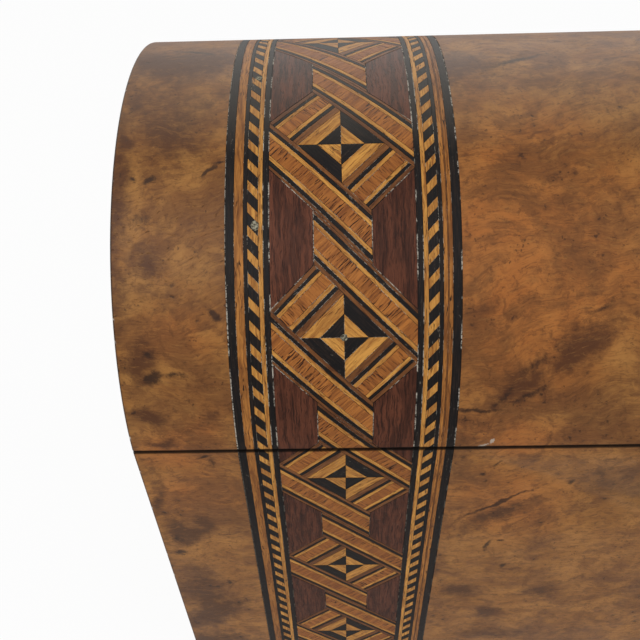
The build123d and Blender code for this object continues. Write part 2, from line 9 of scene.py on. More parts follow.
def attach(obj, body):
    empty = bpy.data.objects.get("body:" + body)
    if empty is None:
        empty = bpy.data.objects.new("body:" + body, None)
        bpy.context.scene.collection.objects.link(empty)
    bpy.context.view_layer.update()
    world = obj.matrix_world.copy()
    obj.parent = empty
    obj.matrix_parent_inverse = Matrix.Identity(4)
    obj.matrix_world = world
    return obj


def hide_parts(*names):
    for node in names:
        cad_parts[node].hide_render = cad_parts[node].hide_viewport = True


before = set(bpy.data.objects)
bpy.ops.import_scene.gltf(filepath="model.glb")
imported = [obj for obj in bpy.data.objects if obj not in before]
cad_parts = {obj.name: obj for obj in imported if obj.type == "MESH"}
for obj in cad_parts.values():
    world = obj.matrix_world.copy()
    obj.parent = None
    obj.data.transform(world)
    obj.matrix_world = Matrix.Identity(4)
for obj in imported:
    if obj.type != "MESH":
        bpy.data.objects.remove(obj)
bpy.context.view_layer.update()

# Antique jewelry box with a domed lid, in burr walnut with two parquetry bands. Shapes are
# worked out in millimetres, as in the part's source, and a Form hands them over in metres.
MM = 0.001

# Outer form and stock
WIDTH = 240.0
DEPTH = 126.0
JOINT_Z = 112.0
JOINT_GAP = 0.3
DOME_R = 63.2
VENEER = 1.0
BOARD = 8.0
BAIZE = 0.8
EASE = 0.5

# Parquetry band: half its panel and its whole half width, its repeat, half the diagonal of a
# diamond and of the star in it, and where a diamond lies above the joint at the front
PANEL_HALF = 14.7
BAND_HALF = 23.4
BAND_X = 73.5
PERIOD = 40.2
SQUARE = 8.9
STAR = 4.9
LID_DIAMOND = 27.8
CASE_DIAMOND = -10.65

# Half the width of a saw cut and of a wide one, how deep the glue lies in them, the least area
# of an offcut that is kept, and how near points of a mesh have to be to be joined
SAW_CUT = 0.05
WIDE_CUT = 0.14
GLUE_DEPTH = 0.1
SMALLEST_OFFCUT = 0.05
WELD_REACH = 0.001

# The woods of a ribbon and of a cap, from the diamond outward, by share of the whole
RIBBON = (("brown", 5.1), ("ebony", 4.5), ("light", 5.5), ("tan", 18.6), ("light", 5.0),
          ("ebony", 5.0), ("brown", 3.6))
CAP = (("brown", 9.5), ("ebony", 5.6), ("light", 6.0), ("tan", 18.0), ("light", 5.6),
       ("ebony", 4.5), ("brown", 6.0))

# The lines of the edge strip by where each ends, from the panel outward, the core of the striped
# line, and the rope's repeat, its share of light wood, its slant and where a light piece lies
INNER_LINE = 15.9
LIGHT_LINE = 16.85
ROPE_LINE = 19.0
THIN_LINE = 19.8
STRIPE_LINE = 21.7
STRIPE_CORE = 0.12
ROPE_PERIOD = 4.75
ROPE_LIGHT = 0.45
ROPE_SLANT = 1.1
ROPE_PLACE = 44.0

# Where the outer black line of the lid is pieced, and how far its upper length steps out
BUTT = 38.8
BUTT_STEP = 0.12

# Hinges, lock and key
HINGE_LENGTH = 34.0
LEAF = 1.2
LEAF_GAP = 0.05
PLATE_WIDTH = 50.0
KEY_Z = 91.0
KEY_R = 2.0
KEY_CLEARANCE = 0.3
BIT_R = 5.4
BIT_WIDTH = 1.8
SLOT_CLEARANCE = 0.4
ESCUTCHEON_RIM = 1.3
ESCUTCHEON_STAND = 0.15

# Tray: its walls inside and outside, its foot, deck and top, the divider along it, and the gap
# at a mitre
TRAY_IN_X = 104.3
TRAY_IN_Y = 47.3
TRAY_OUT_X = 107.3
TRAY_OUT_Y = 50.3
TRAY_FOOT = 74.0
TRAY_DECK = 76.0
TRAY_TOP = 104.0
ROW_Y = 8.0
DIVIDER = 2.0
MITRE_GAP = 0.012

# Places worked out from the sizes above
CORE_X = WIDTH / 2 - VENEER
CORE_Y = DEPTH / 2 - VENEER
CASE_TOP = JOINT_Z - JOINT_GAP / 2
DOME_Z = JOINT_Z - sqrt(DOME_R**2 - (DEPTH / 2) ** 2)
DOME_FRONT = pi - asin((JOINT_Z - DOME_Z) / DOME_R)
DOME_ARC = (2 * DOME_FRONT - pi) * DOME_R
LIFT = JOINT_GAP / 2
POCKET_TOP = LEAF_GAP + LEAF
SCREW_Y = DEPTH / 2 - 3.4
PLATE_SCREW_Y = -57.6
X, Y, Z = Vector((1, 0, 0)), Vector((0, 1, 0)), Vector((0, 0, 1))


def welded(mesh):
    """Joins the points of a mesh that meet and turns every face outward."""
    work = bmesh.new()
    work.from_mesh(mesh)
    bmesh.ops.remove_doubles(work, verts=work.verts, dist=WELD_REACH * MM)
    bmesh.ops.recalc_face_normals(work, faces=work.faces)
    work.to_mesh(mesh)
    work.free()


class Form:
    """The faces of one piece. Each point carries its place in the grain of its wood."""

    def __init__(self):
        self.points, self.grain, self.faces = [], [], []

    def add(self, points, faces, grain=None):
        start = len(self.points)
        self.points += [Vector(point) for point in points]
        self.grain += list(grain) if grain else [Vector(point) for point in points]
        self.faces += [[start + index for index in face] for face in faces]

    def make(self, name, body, finish, slot, replaces=(), sharp=35.0):
        """The piece as an object that rides on a body and wears a finish."""
        mesh = bpy.data.meshes.new(name)
        mesh.from_pydata([point * MM for point in self.points], [], self.faces)
        grain = mesh.attributes.new("grain", "FLOAT_VECTOR", "POINT")
        grain.data.foreach_set("vector", [value for place in self.grain for value in place])
        mesh.materials.append(finish)
        welded(mesh)
        mesh.validate()
        mesh.shade_smooth()
        mesh.set_sharp_from_angle(angle=radians(sharp))
        piece = bpy.data.objects.new(name, mesh)
        bpy.context.scene.collection.objects.link(piece)
        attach(piece, body)
        if replaces:
            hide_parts(*replaces)
        return piece


# The veneered faces of the box, laid out flat: u runs across a face and w up from the joint


def ease(distance):
    """How far the surface falls away at a distance from a rounded edge."""
    short = max(EASE - distance, 0)
    return EASE - sqrt(EASE**2 - min(short, EASE) ** 2)


def eased_lines(low, high, step):
    """Where a face is cut so that it can follow its rounded edges and its curve."""
    near = [0.0, 0.06, 0.16, 0.32, EASE]
    count = max(1, ceil((high - low - 2 * EASE) / step))
    inner = [low + EASE + (high - low - 2 * EASE) * i / count for i in range(1, count)]
    return [low + d for d in near] + inner + [high - d for d in reversed(near)]


class Face:
    """A face of the box. Its place gives a point from u, w and the depth below the surface."""

    def __init__(self, body, low, high, half_width, point, step):
        self.body, self.low, self.high, self.point = body, low, high, point
        self.half_width = half_width
        self.lines = eased_lines(low, high, step)
        self.edges = eased_lines(-half_width, half_width, 2 * half_width)

    def place(self, u, w, depth):
        fall = ease(min(w - self.low, self.high - w)) + ease(self.half_width - abs(u))
        return self.point(u, w, depth + (fall if depth < EASE else 0))


def wall(turn, half):
    """Points of a flat upright face, from its turn about the middle and its distance from it."""
    spin = Matrix.Rotation(radians(turn), 3, "Z")
    return lambda u, w, depth: spin @ Vector((u, depth - half, JOINT_Z + w))


def dome(u, w, depth):
    """A point of the dome. w runs over it from the front joint."""
    angle, radius = DOME_FRONT - w / DOME_R, DOME_R - depth
    return Vector((u, radius * cos(angle), DOME_Z + radius * sin(angle)))


def ends(body, low, high):
    """The faces at the right and at the left end of the box."""
    return [(side, Face(body, low, high, DEPTH, wall(turn, WIDTH / 2), 40))
            for side, turn in (("right", 90), ("left", 270))]


FOOT = BAIZE - JOINT_Z
FRONT = Face("case", FOOT, -LIFT, WIDTH / 2, wall(0, DEPTH / 2), 40)
BACK = Face("case", FOOT, -LIFT, WIDTH / 2, wall(180, DEPTH / 2), 40)
DOME = Face("lid", LIFT, DOME_ARC - LIFT, WIDTH / 2, dome, 2.0)
CASE_ENDS, LID_ENDS = ends("case", FOOT, -LIFT), ends("lid", LIFT, DEPTH)


def clip(outline, a, b, limit):
    """The part of a flat outline where a * u + b * w is at most a limit."""
    kept = []
    for (u0, w0), (u1, w1) in zip(outline, outline[1:] + outline[:1]):
        past0, past1 = a * u0 + b * w0 - limit, a * u1 + b * w1 - limit
        if past0 <= 0:
            kept.append((u0, w0))
        if past0 * past1 < 0:
            share = past0 / (past0 - past1)
            kept.append((u0 + share * (u1 - u0), w0 + share * (w1 - w0)))
    return kept


def area(outline):
    """The area of a flat outline."""
    pairs = zip(outline, outline[1:] + outline[:1])
    return abs(sum(u0 * w1 - u1 * w0 for (u0, w0), (u1, w1) in pairs)) / 2


def slices(outline, lines, axis):
    """An outline cut into slices by lines of equal u, for axis 0, or of equal w, for axis 1."""
    low, high = min(p[axis] for p in outline), max(p[axis] for p in outline)
    a, b = (1, 0) if axis == 0 else (0, 1)
    cuts = [low, *[line for line in lines if low + 1e-4 < line < high - 1e-4], high]
    for start, end in zip(cuts, cuts[1:]):
        piece = clip(clip(outline, -a, -b, -start), a, b, end)
        if len(piece) > 2 and area(piece) > 1e-5:
            yield piece


def rectangle(u, w):
    """The outline of a rectangle from its pairs of low and high."""
    return [(u[0], w[0]), (u[1], w[0]), (u[1], w[1]), (u[0], w[1])]


def veneer(form, face, outlines, run=0.0, seed=0.0, depth=(0.0, VENEER), shift=0.0):
    """A piece of veneer over flat outlines that share their edges. Its grain runs at an angle."""
    numbers, flat, cells = {}, [], []
    for outline in outlines:
        for strip in slices(outline, face.lines, 1):
            for cell in slices(strip, face.edges, 0):
                corners = []
                for u, w in cell:
                    key = (round(u, 4), round(w, 4))
                    if key not in numbers:
                        numbers[key] = len(flat)
                        flat.append((u, w))
                    if numbers[key] not in corners:
                        corners.append(numbers[key])
                if len(corners) > 2:
                    cells.append(corners)
    count = len(flat)
    sides = {pair for cell in cells for pair in zip(cell, cell[1:] + cell[:1])}
    faces = list(cells)
    faces += [[count + index for index in reversed(cell)] for cell in cells]
    faces += [[b, a, count + a, count + b] for a, b in sorted(sides) if (b, a) not in sides]
    points = [face.place(u + shift, w, d) for d in depth for u, w in flat]
    along, across = (cos(run), sin(run)), (-sin(run), cos(run))
    grain = [Vector((u * along[0] + w * along[1], u * across[0] + w * across[1], seed))
             for u, w in flat]
    form.add(points, faces, grain * 2)


# Parquetry. A piece lies between two rising lines, which are two values of u - w, between two
# falling lines, which are two values of u + w, and in a range of u and of w.

FREE = (-2 * PERIOD, 2 * PERIOD)
ACROSS = (-PANEL_HALF, PANEL_HALF)
RISING, FALLING, UPRIGHT = radians(45), radians(-45), radians(90)


def inlay(rise, fall, u, w, cut):
    """The outline of one piece about its diamond's middle, drawn in by half the saw cut."""
    outline = rectangle((u[0] + cut, u[1] - cut), (w[0] + cut, w[1] - cut))
    slant = cut * sqrt(2)
    for slope, bounds in ((-1, rise), (1, fall)):
        outline = clip(outline, -1, -slope, -bounds[0] - slant)
        outline = clip(outline, 1, slope, bounds[1] - slant)
    return outline


def shares(strips, start, end):
    """The pairs of low and high that a row of strips fills between two values."""
    whole = sum(share for wood, share in strips)
    at = start
    for wood, share in strips:
        step = (end - start) * share / whole
        yield wood, tuple(sorted((at, at + step)))
        at += step


def diamond_woods():
    """The pieces of one repeat: wood, grain angle, rise, fall, u, w and half the saw cut."""
    half, far = PERIOD / 2, PERIOD + SQUARE
    waist, cap = PANEL_HALF - SQUARE, 2 * PANEL_HALF - SQUARE
    minus, plus = (-SQUARE, 0), (0, SQUARE)
    pieces = []

    def piece(wood, run, rise=FREE, fall=FREE, u=ACROSS, w=FREE, cut=SAW_CUT):
        pieces.append((wood, run, rise, fall, u, w, cut))

    for wood, pair in shares(RIBBON, SQUARE, half):
        piece(wood, FALLING, fall=pair, u=(-waist, PANEL_HALF))
        piece(wood, FALLING, fall=(-pair[1], -pair[0]), u=(-PANEL_HALF, waist))
    for wood, pair in shares(CAP, SQUARE, cap):
        piece(wood, RISING, rise=pair, fall=(-SQUARE, SQUARE))
        piece(wood, RISING, rise=(-pair[1], -pair[0]), fall=(-SQUARE, SQUARE))

    piece("light", RISING, rise=(-SQUARE, -STAR), u=minus, w=plus)
    piece("light", RISING, rise=(STAR, SQUARE), u=plus, w=minus)
    piece("ebony", RISING, rise=(-STAR, SQUARE), u=minus, w=plus)
    piece("ebony", RISING, rise=(-SQUARE, STAR), u=plus, w=minus)
    piece("ebony", FALLING, fall=(-SQUARE, -STAR), u=minus, w=minus)
    piece("ebony", FALLING, fall=(STAR, SQUARE), u=plus, w=plus)
    piece("light", FALLING, fall=(-STAR, SQUARE), u=minus, w=minus)
    piece("light", FALLING, fall=(-SQUARE, STAR), u=plus, w=plus)

    piece("rosewood", UPRIGHT, (FREE[0], PERIOD - cap), (-far, -half), (-PANEL_HALF, -waist),
          cut=WIDE_CUT)
    piece("rosewood", UPRIGHT, (cap - PERIOD, FREE[1]), (half, far), (waist, PANEL_HALF),
          cut=WIDE_CUT)
    return pieces


def edge_strips(side, low, high):
    """The lines and the rope of one edge strip: wood, outline and half the saw cut."""
    lines = [("ebony", PANEL_HALF, INNER_LINE, WIDE_CUT, WIDE_CUT),
             ("light", INNER_LINE, LIGHT_LINE, SAW_CUT, SAW_CUT),
             ("ebony", ROPE_LINE, THIN_LINE, SAW_CUT, SAW_CUT),
             ("ebony", STRIPE_LINE, BAND_HALF, SAW_CUT, WIDE_CUT)]
    if side < 0:
        lines.append(("stripe", THIN_LINE, STRIPE_LINE, SAW_CUT, SAW_CUT))
    else:
        core = (THIN_LINE + STRIPE_LINE) / 2
        lines += [("stripe", THIN_LINE, core - STRIPE_CORE, SAW_CUT, SAW_CUT),
                  ("brown", core - STRIPE_CORE, core + STRIPE_CORE, 0, 0),
                  ("stripe", core + STRIPE_CORE, STRIPE_LINE, SAW_CUT, SAW_CUT)]
    for wood, inner, outer, inner_cut, outer_cut in lines:
        u = sorted((side * (inner + inner_cut), side * (outer - outer_cut)))
        if side < 0 and low > 0 and outer == BAND_HALF:
            yield wood, rectangle(u, (low, BUTT - SAW_CUT))
            yield wood, rectangle((u[0] - BUTT_STEP, u[1]), (BUTT + SAW_CUT, high))
        else:
            yield wood, rectangle(u, (low, high))
    u0, u1 = sorted((side * (LIGHT_LINE + SAW_CUT), side * (ROPE_LINE - SAW_CUT)))
    drop = side * ROPE_SLANT * (u1 - u0) / 2
    place = ROPE_PLACE + 0.2 * side
    half = ROPE_PERIOD * ROPE_LIGHT / 2
    first, last = floor((low - place) / ROPE_PERIOD) - 1, ceil((high - place) / ROPE_PERIOD) + 1
    for index in range(first, last + 1):
        middle = place + index * ROPE_PERIOD
        for wood, start, end in (("light", middle - half, middle + half),
                                 ("ebony", middle + half, middle + ROPE_PERIOD - half)):
            start, end = start + SAW_CUT, end - SAW_CUT
            block = [(u0, start - drop), (u1, start + drop), (u1, end + drop), (u0, end - drop)]
            yield wood, clip(clip(block, 0, -1, -low), 0, 1, high)


def band(forms, face, middle_u, first, repeats, high, chance):
    """One parquetry band on a face, its pieces added to the forms of their woods."""
    for index in range(repeats):
        middle = first + index * PERIOD
        for wood, run, rise, fall, u, w, cut in diamond_woods():
            outline = inlay(rise, fall, u, w, cut)
            if len(outline) < 3:
                continue
            outline = [(u, middle + w) for u, w in outline]
            outline = clip(clip(outline, 0, -1, -face.low), 0, 1, high)
            if len(outline) > 2 and area(outline) > SMALLEST_OFFCUT:
                veneer(forms[wood], face, [outline], run, chance.uniform(0, 900), shift=middle_u)
    for side in (-1, 1):
        for wood, outline in edge_strips(side, face.low, face.high):
            if all(abs(u) < HINGE_LENGTH / 2 for u, w in outline):
                outline = clip(outline, 0, 1, high)
            if len(outline) > 2 and area(outline) > SMALLEST_OFFCUT:
                seed = chance.uniform(0, 900)
                veneer(forms[wood], face, [outline], UPRIGHT, seed, shift=middle_u)


# Finishes


class Wire:
    """A value in a finish. Arithmetic on it adds Math nodes."""

    def __init__(self, finish, socket):
        self.finish, self.socket = finish, socket

    def math(self, operation, *values):
        return self.finish.node("Math", {"operation": operation}, dict(enumerate(values)))

    def most(self, other):
        return self.math("MAXIMUM", self, other)

    def over(self, limit):
        return self.math("GREATER_THAN", self, limit)

    def __abs__(self):
        return self.math("ABSOLUTE", self)

    def __add__(self, other):
        return self.math("ADD", self, other)

    def __sub__(self, other):
        return self.math("SUBTRACT", self, other)

    def __rsub__(self, other):
        return self.math("SUBTRACT", other, self)

    def __mul__(self, other):
        return self.math("MULTIPLY", self, other)

    __radd__ = __add__
    __rmul__ = __mul__


def tone(red, green, blue):
    """A colour from its display values of 0 to 255."""
    parts = [value / 255 for value in (red, green, blue)]
    return (*[c / 12.92 if c <= 0.04045 else ((c + 0.055) / 1.055) ** 2.4 for c in parts], 1.0)


class Nodes:
    """The nodes of a material or of the world."""

    def __init__(self, tree):
        self.tree = tree

    def node(self, kind, settings=None, inputs=None, output=0):
        """A node of a kind: its settings first, then the values or wires of its sockets."""
        made = self.tree.nodes.new("ShaderNode" + kind)
        for name, value in (settings or {}).items():
            setattr(made, name, value)
        self.join(made, inputs or {})
        return Wire(self, made.outputs[output])

    def join(self, made, inputs):
        """Sets the sockets of a node to values, or links wires to them."""
        for name, value in inputs.items():
            if isinstance(value, Wire):
                self.tree.links.new(value.socket, made.inputs[name])
            else:
                made.inputs[name].default_value = value


class Finish(Nodes):
    """A material in the making."""

    def __init__(self, name):
        self.material = bpy.data.materials.new(name)
        self.material.use_nodes = True
        super().__init__(self.material.node_tree)
        self.shader = self.tree.nodes["Principled BSDF"]

    def grain(self):
        """The place in the grain, in millimetres: along it, across it, and by piece."""
        return self.node("Attribute", {"attribute_name": "grain"}, output="Vector")

    def place(self):
        """The place on the box, in millimetres."""
        return self.scaled(self.node("TexCoord", output="Object"), (1 / MM,) * 3)

    def vector(self, operation, *values, output=0):
        return self.node("VectorMath", {"operation": operation}, dict(enumerate(values)), output)

    def scaled(self, vector, scale):
        return self.vector("MULTIPLY", vector, scale)

    def turned(self, vector, angle):
        settings = {"rotation_type": "Z_AXIS"}
        return self.node("VectorRotate", settings, {"Vector": vector, "Angle": angle})

    def part(self, vector, axis):
        return self.node("SeparateXYZ", inputs={0: vector}, output=axis)

    def noise(self, vector, scale, detail=2.0, roughness=0.5, output=0):
        inputs = {"Vector": vector, "Scale": scale, "Detail": detail, "Roughness": roughness}
        return self.node("TexNoise", inputs=inputs, output=output)

    def cells(self, vector, scale):
        """How far a place is from the nearest of many scattered points."""
        return self.node("TexVoronoi", inputs={"Vector": vector, "Scale": scale})

    def warped(self, vector, scale, reach, detail=2.0):
        """A vector moved about by soft noise, by up to half its reach."""
        drift = self.noise(vector, scale, detail, output="Color")
        drift = self.vector("SUBTRACT", drift, (0.5,) * 3)
        return self.vector("ADD", vector, self.scaled(drift, (reach,) * 3))

    def ramp(self, value, low, high):
        """0 where a value is low and 1 where it is high, with a smooth rise."""
        return self.node("MapRange", {"interpolation_type": "SMOOTHSTEP"}, {
            "Value": value, "From Min": low, "From Max": high})

    def mix(self, colour, *layers):
        """A colour with others laid over it in turn, each by its share."""
        for other, share in layers:
            inputs = {0: share, 6: colour, 7: other}
            colour = self.node("Mix", {"data_type": "RGBA"}, inputs, output=2)
        return colour

    def chance(self, seed):
        """A number from 0 to 1 for each value of a seed."""
        return self.node("TexWhiteNoise", {"noise_dimensions": "1D"}, {"W": seed})

    def bump(self, height, depth):
        """The surface's tilt for a height of 0 to 1 over a depth in millimetres."""
        return self.node("Bump", inputs={"Height": height, "Distance": depth * MM})

    def made(self, colour, roughness, normal=None, **constants):
        """The finished material. Underscores in the names of constants stand for spaces."""
        inputs = {"Base Color": colour, "Roughness": roughness}
        if normal is not None:
            inputs["Normal"] = normal
        inputs.update({name.replace("_", " "): value for name, value in constants.items()})
        self.join(self.shader, inputs)
        return self.material


# Figure in the walnut that the front shows, each mark an oval at u and w with its length, width,
# angle and strength: dark streaks and knots, soft clouds and on the case one painted shade, chips
# at the joint, and warm patches
LID_DARK = (
    (-35, 22, 8, 1.6, 42, 0.45), (-41, 13.5, 6.5, 1.4, 55, 0.5), (-36.5, 14, 8, 1.1, 38, 0.55),
    (-46.5, 10.5, 8, 1.0, -8, 0.8), (-112.8, 19.7, 2.6, 1.9, 60, 1.0),
    (-108.5, 20.6, 6, 1.1, 5, 0.55), (-113.2, 25.2, 2.6, 1.2, 30, 0.7),
    (-99.6, 32.9, 2.2, 1.2, -55, 0.95), (-100.2, 62.8, 3.4, 0.6, 48, 0.95),
    (-98.2, 64.5, 2.0, 0.5, 5, 0.8), (-115.9, 61.4, 1.2, 0.8, 0, 0.8),
    (-112.4, 60.6, 1.9, 1.1, 20, 0.9), (-113.6, 52.2, 4.0, 2.2, 20, 0.45),
    (-106.6, 102, 9, 1.0, -14, 0.7), (-34, 93.5, 11, 1.1, 24, 0.7), (-22, 33, 12, 1.4, 40, 0.4),
)
LID_CLOUD = (
    (-115.5, 23, 7, 5, 60, 0.7), (-115.2, 11, 6, 3.5, -15, 0.9), (-113.5, 3.8, 6, 2.5, 5, 0.6),
    (-113.3, 43.5, 7, 5, 60, 0.7), (-111, 37, 8, 3, 0, 0.4), (-117.5, 69, 5, 5, 0, 0.8),
    (-108, 96, 20, 12, 4, 1.0), (-116, 80, 5, 8, 0, 0.5), (-52, 92, 20, 9, -6, 0.9),
    (-30, 84, 10, 6, 30, 0.3), (-38, 17, 12, 5, 42, 0.75), (-44, 34, 7, 4, 20, 0.5),
    (-26, 26, 14, 6, 40, 0.8), (-47, 4, 14, 3, 5, 0.3), (-120, 55, 5, 40, 0, 0.7),
    (-109, 72, 12, 15, 0, 0.65),
)
CASE_DARK = (
    (-104.6, -2.4, 2.2, 0.9, 20, 0.8), (-103.4, -4.6, 1.0, 2.0, 0, 0.5),
    (-37.5, -21.6, 14.5, 0.9, 38, 0.9), (-42.6, -9.5, 1.6, 0.9, 35, 0.7),
    (-40, -5.3, 2.4, 0.7, 60, 0.6), (-37.3, -41.5, 1.1, 4.2, -12, 0.7),
    (-33.9, -39.4, 1.4, 1.0, 0, 0.7), (-32.1, -51.8, 1.6, 2.0, 0, 0.7),
    (-105.6, -60, 1.4, 2.0, 0, 0.7), (-109.1, -62.5, 2.0, 1.2, 10, 0.55),
    (-116.4, -43.7, 3.0, 2.4, 0, 0.7), (-116, -36, 4.0, 2.0, 10, 0.5), (-22, -13, 1.0, 1.6, 0, 0.7),
)
CASE_CLOUDS_AND_SHADE = (
    (-113.6, -33, 6.5, 8, 20, 1.0), (-108.5, -29, 3, 6, 0, 0.7), (-117.5, -18, 3, 14, 0, 0.6),
    (-111, -78, 16, 8, 48, 1.0), (-113, -97, 14, 9, 0, 1.0), (-36, -26, 17, 5, 38, 0.75),
    (-41, -66, 7, 6, 0, 0.8), (-32.5, -79, 5, 7, 0, 0.7), (-20, -66, 8, 6, 10, 0.7),
    # The last mark below, tall and low near the left end, is painted shade on the lower front.
    (-30, -94, 20, 5, 5, 0.6), (-47, -10, 4, 6, 0, 0.3), (-113, -68, 10, 26, 0, 0.7),
)
LID_CHIPS = (
    (-43.8, 0.9, 1.7, 0.6, 24, 1.0), (-42.1, 2.0, 0.7, 1.1, -20, 1.0),
)
WARM_FIGURE = (
    (-38, 44, 34, 46, 0, 1.0), (-40, 4, 30, 10, 0, 0.8), (-108, 28, 14, 8, 0, 0.6),
    (-108, 4, 14, 10, 0, 0.8), (-36, -22, 24, 26, 20, 0.7), (-108, -14, 16, 18, 0, 0.7),
    (60, 40, 60, 40, 0, 0.6),
)


# How far a mark reaches in the seed of a piece's grain, which is 0 only on the front and the dome
SEED_REACH = 50.0


def marks(f, flat, places):
    """0 outside a list of oval marks on the front, rising to their strengths at their middles."""
    most = 0.0
    for x, w, length, width, angle, strength in places:
        near = f.node("Mapping", {"vector_type": "TEXTURE"}, {
            "Vector": flat, "Location": (x, w, 0), "Rotation": (0, 0, radians(angle)),
            "Scale": (length, width, SEED_REACH)})
        near = (1 - f.vector("LENGTH", near, output="Value")) * strength
        most = near.most(most)
    return most


def ragged(f, mark, grit, reach, low, high):
    """The stain that marks leave in the wood, its edge broken up by noise."""
    return f.ramp(mark + (grit - 0.5) * reach, low, high) * f.ramp(mark, 0.0, 0.16)


def with_painted_shade_and_sheen(f, colour, roughness, normal, gloss):
    """The finished wood, with dirt and painted shade along the joint and a painted sheen on the
    top.
    """
    height = f.part(f.place(), "Z") - JOINT_Z
    # Near black within a millimetre of the joint: dirt and painted shade in the gap between lid and
    # case.
    near = f.ramp(abs(height), 0.85, 0.32)
    # Pale grey from 51 to 58 mm above the joint: a painted sheen on the top of the dome.
    colour = f.mix(colour, (tone(10, 7, 5), near * 0.94),
                   (tone(140, 134, 124), f.ramp(height, 51, 58) * 0.18))
    return f.made(colour, roughness + 0.5 * near, normal, Specular_IOR_Level=gloss)


def walnut(name, dark_places, cloud_and_shade_places, base, chips=()):
    """Burr walnut: clouds, wavy fibres, clusters of dark pips, placed dark figure and painted
    shade.

    Its woods are given as golden, honey, brown, deep, black and orange.
    """
    f = Finish(name)
    flat = f.grain()
    swirl = f.warped(f.warped(flat, 0.03, 18.0), 0.2, 3.0, 3)
    cloud = f.ramp(f.noise(f.scaled(swirl, (1, 1.3, 1)), 0.045, 7, 0.62), 0.44, 0.62)
    tint = f.ramp(f.noise(swirl, 0.1, 6, 0.65), 0.36, 0.64)
    patch = f.ramp(f.noise(f.scaled(swirl, (0.8, 1.2, 1)), 0.17, 7, 0.72), 0.47, 0.62)
    flame = f.ramp(f.noise(f.scaled(f.turned(swirl, radians(-33)), (0.016, 0.1, 1)), 1.0, 6, 0.6),
                   0.55, 0.70)
    level = f.turned(swirl, radians(-7))
    fibre = f.noise(f.scaled(level, (0.22, 2.3, 1)), 1.0, 6, 0.7)
    coarse = f.noise(f.scaled(level, (0.1, 0.75, 1)), 1.0, 5, 0.65)
    tick = f.ramp(f.noise(f.scaled(level, (0.75, 3.6, 1)), 1.0, 3, 0.55), 0.63, 0.72)
    mottle = f.noise(f.warped(flat, 0.3, 3.0), 0.55, 6, 0.75)
    crowd = f.ramp(f.noise(flat, 0.05, 3, 0.55), 0.48, 0.60)
    eye = f.cells(f.warped(flat, 0.7, 2.2, 3), 0.3)
    pip = (1 - f.ramp(eye, 0.06, 0.2)) * crowd
    ring = (1 - f.ramp(eye, 0.2, 0.55)) * crowd
    speck = (1 - f.ramp(f.cells(f.warped(flat, 1.2, 1.0), 0.8), 0.1, 0.26)) * f.ramp(
        f.noise(flat, 0.14, 3, 0.6), 0.53, 0.62)

    grit = f.noise(f.warped(flat, 0.5, 2.0), 0.6, 6, 0.75)
    dark = ragged(f, marks(f, f.warped(flat, 0.16, 4.0, 4), dark_places), grit, 1.3, 0.06, 0.62)
    murk = marks(f, f.warped(flat, 0.1, 9.0, 6), cloud_and_shade_places)
    murk = ragged(f, murk, f.noise(flat, 0.3, 6, 0.7), 1.15, 0.0, 0.66)
    warm = f.ramp(marks(f, f.warped(flat, 0.04, 24.0, 4), WARM_FIGURE), 0.0, 0.7)

    golden, honey, brown, deep, black, orange = base
    colour = f.mix(
        golden, (honey, tint), (orange, warm * 0.55), (brown, cloud * 0.75), (brown, patch * 0.6),
        (deep, flame * 0.55), (deep, murk * 0.92), (deep, f.ramp(coarse, 0.50, 0.66) * 0.26),
        (golden, f.ramp(coarse, 0.44, 0.30) * 0.28), (deep, f.ramp(fibre, 0.50, 0.66) * 0.4),
        (golden, f.ramp(fibre, 0.44, 0.32) * 0.34), (deep, f.ramp(mottle, 0.51, 0.66) * 0.5),
        (deep, ring * 0.3), (black, pip * 0.75), (black, speck * 0.6), (black, tick * 0.45),
        (black, dark * 0.85))
    if chips:
        broken = f.noise(flat, 2.4, 4, 0.75)
        chip = ragged(f, marks(f, f.warped(flat, 0.8, 1.2, 3), chips), broken, 2.6, 0.2, 0.6)
        colour = f.mix(colour, (tone(184, 172, 158), chip * 0.8))
    # Within 0.6 mm of the box's ends: a darker band, and a painted highlight on the rounded edge in
    # broken pale dashes.
    worn = f.ramp(abs(f.part(flat, "X")), WIDTH / 2 - 0.6, WIDTH / 2 - 0.15)
    glint_dashes = f.ramp(f.noise(flat, 0.35, 4), 0.60, 0.66)
    colour = f.mix(colour, (tone(30, 22, 18), worn * 0.75), (tone(214, 204, 190), worn * glint_dashes))
    roughness = 0.36 + 0.16 * f.noise(flat, 0.08, 4, 0.6) + 0.12 * tick
    height = f.noise(flat, 0.2, 3, 0.5) * 0.6 - tick * 0.25 - pip * 0.3 + fibre * 0.12
    return with_painted_shade_and_sheen(f, colour, roughness, f.bump(height, 0.14), 0.2)


def streaky(name, light, dark, lines, pores, shade, vary, sway=1.2, cross=False):
    """A small piece of straight-grained wood.

    Lines, pores and shade say how strongly its grain, its pores and its broad streaks show, and
    vary how much one piece differs from the next. Cross turns the grain across the piece.
    """
    f = Finish(name)
    grain = f.grain()
    run = f.warped(grain, 0.25, sway)
    if cross:
        run = f.turned(run, radians(90))
    fine = f.noise(f.scaled(run, (0.16, 2.9, 1)), 1.0, 4, 0.65)
    broad = f.noise(f.scaled(run, (0.08, 0.8, 1)), 1.0, 4, 0.6)
    sparse = 0.57 if cross else 0.60
    tick = f.noise(f.scaled(run, (0.35 if cross else 0.5, 3.4, 1)), 1.0, 2, 0.5)
    tick = f.ramp(tick, sparse, sparse + 0.07)
    bare = f.ramp(f.noise(grain, 0.12, 2), 0.36, 0.56)
    piece = f.chance(f.part(grain, "Z"))
    colour = f.mix(light, (dark, f.ramp(broad, 0.36, 0.66) * shade), (dark, piece * vary),
                   (dark, f.ramp(fine, 0.47, 0.64) * lines),
                   (tone(46, 24, 14), tick * bare * pores))
    height = fine * 0.5 + f.noise(grain, 0.6, 2) - tick * pores
    return with_painted_shade_and_sheen(f, colour, 0.36 + 0.12 * fine, f.bump(height, 0.05), 0.12)


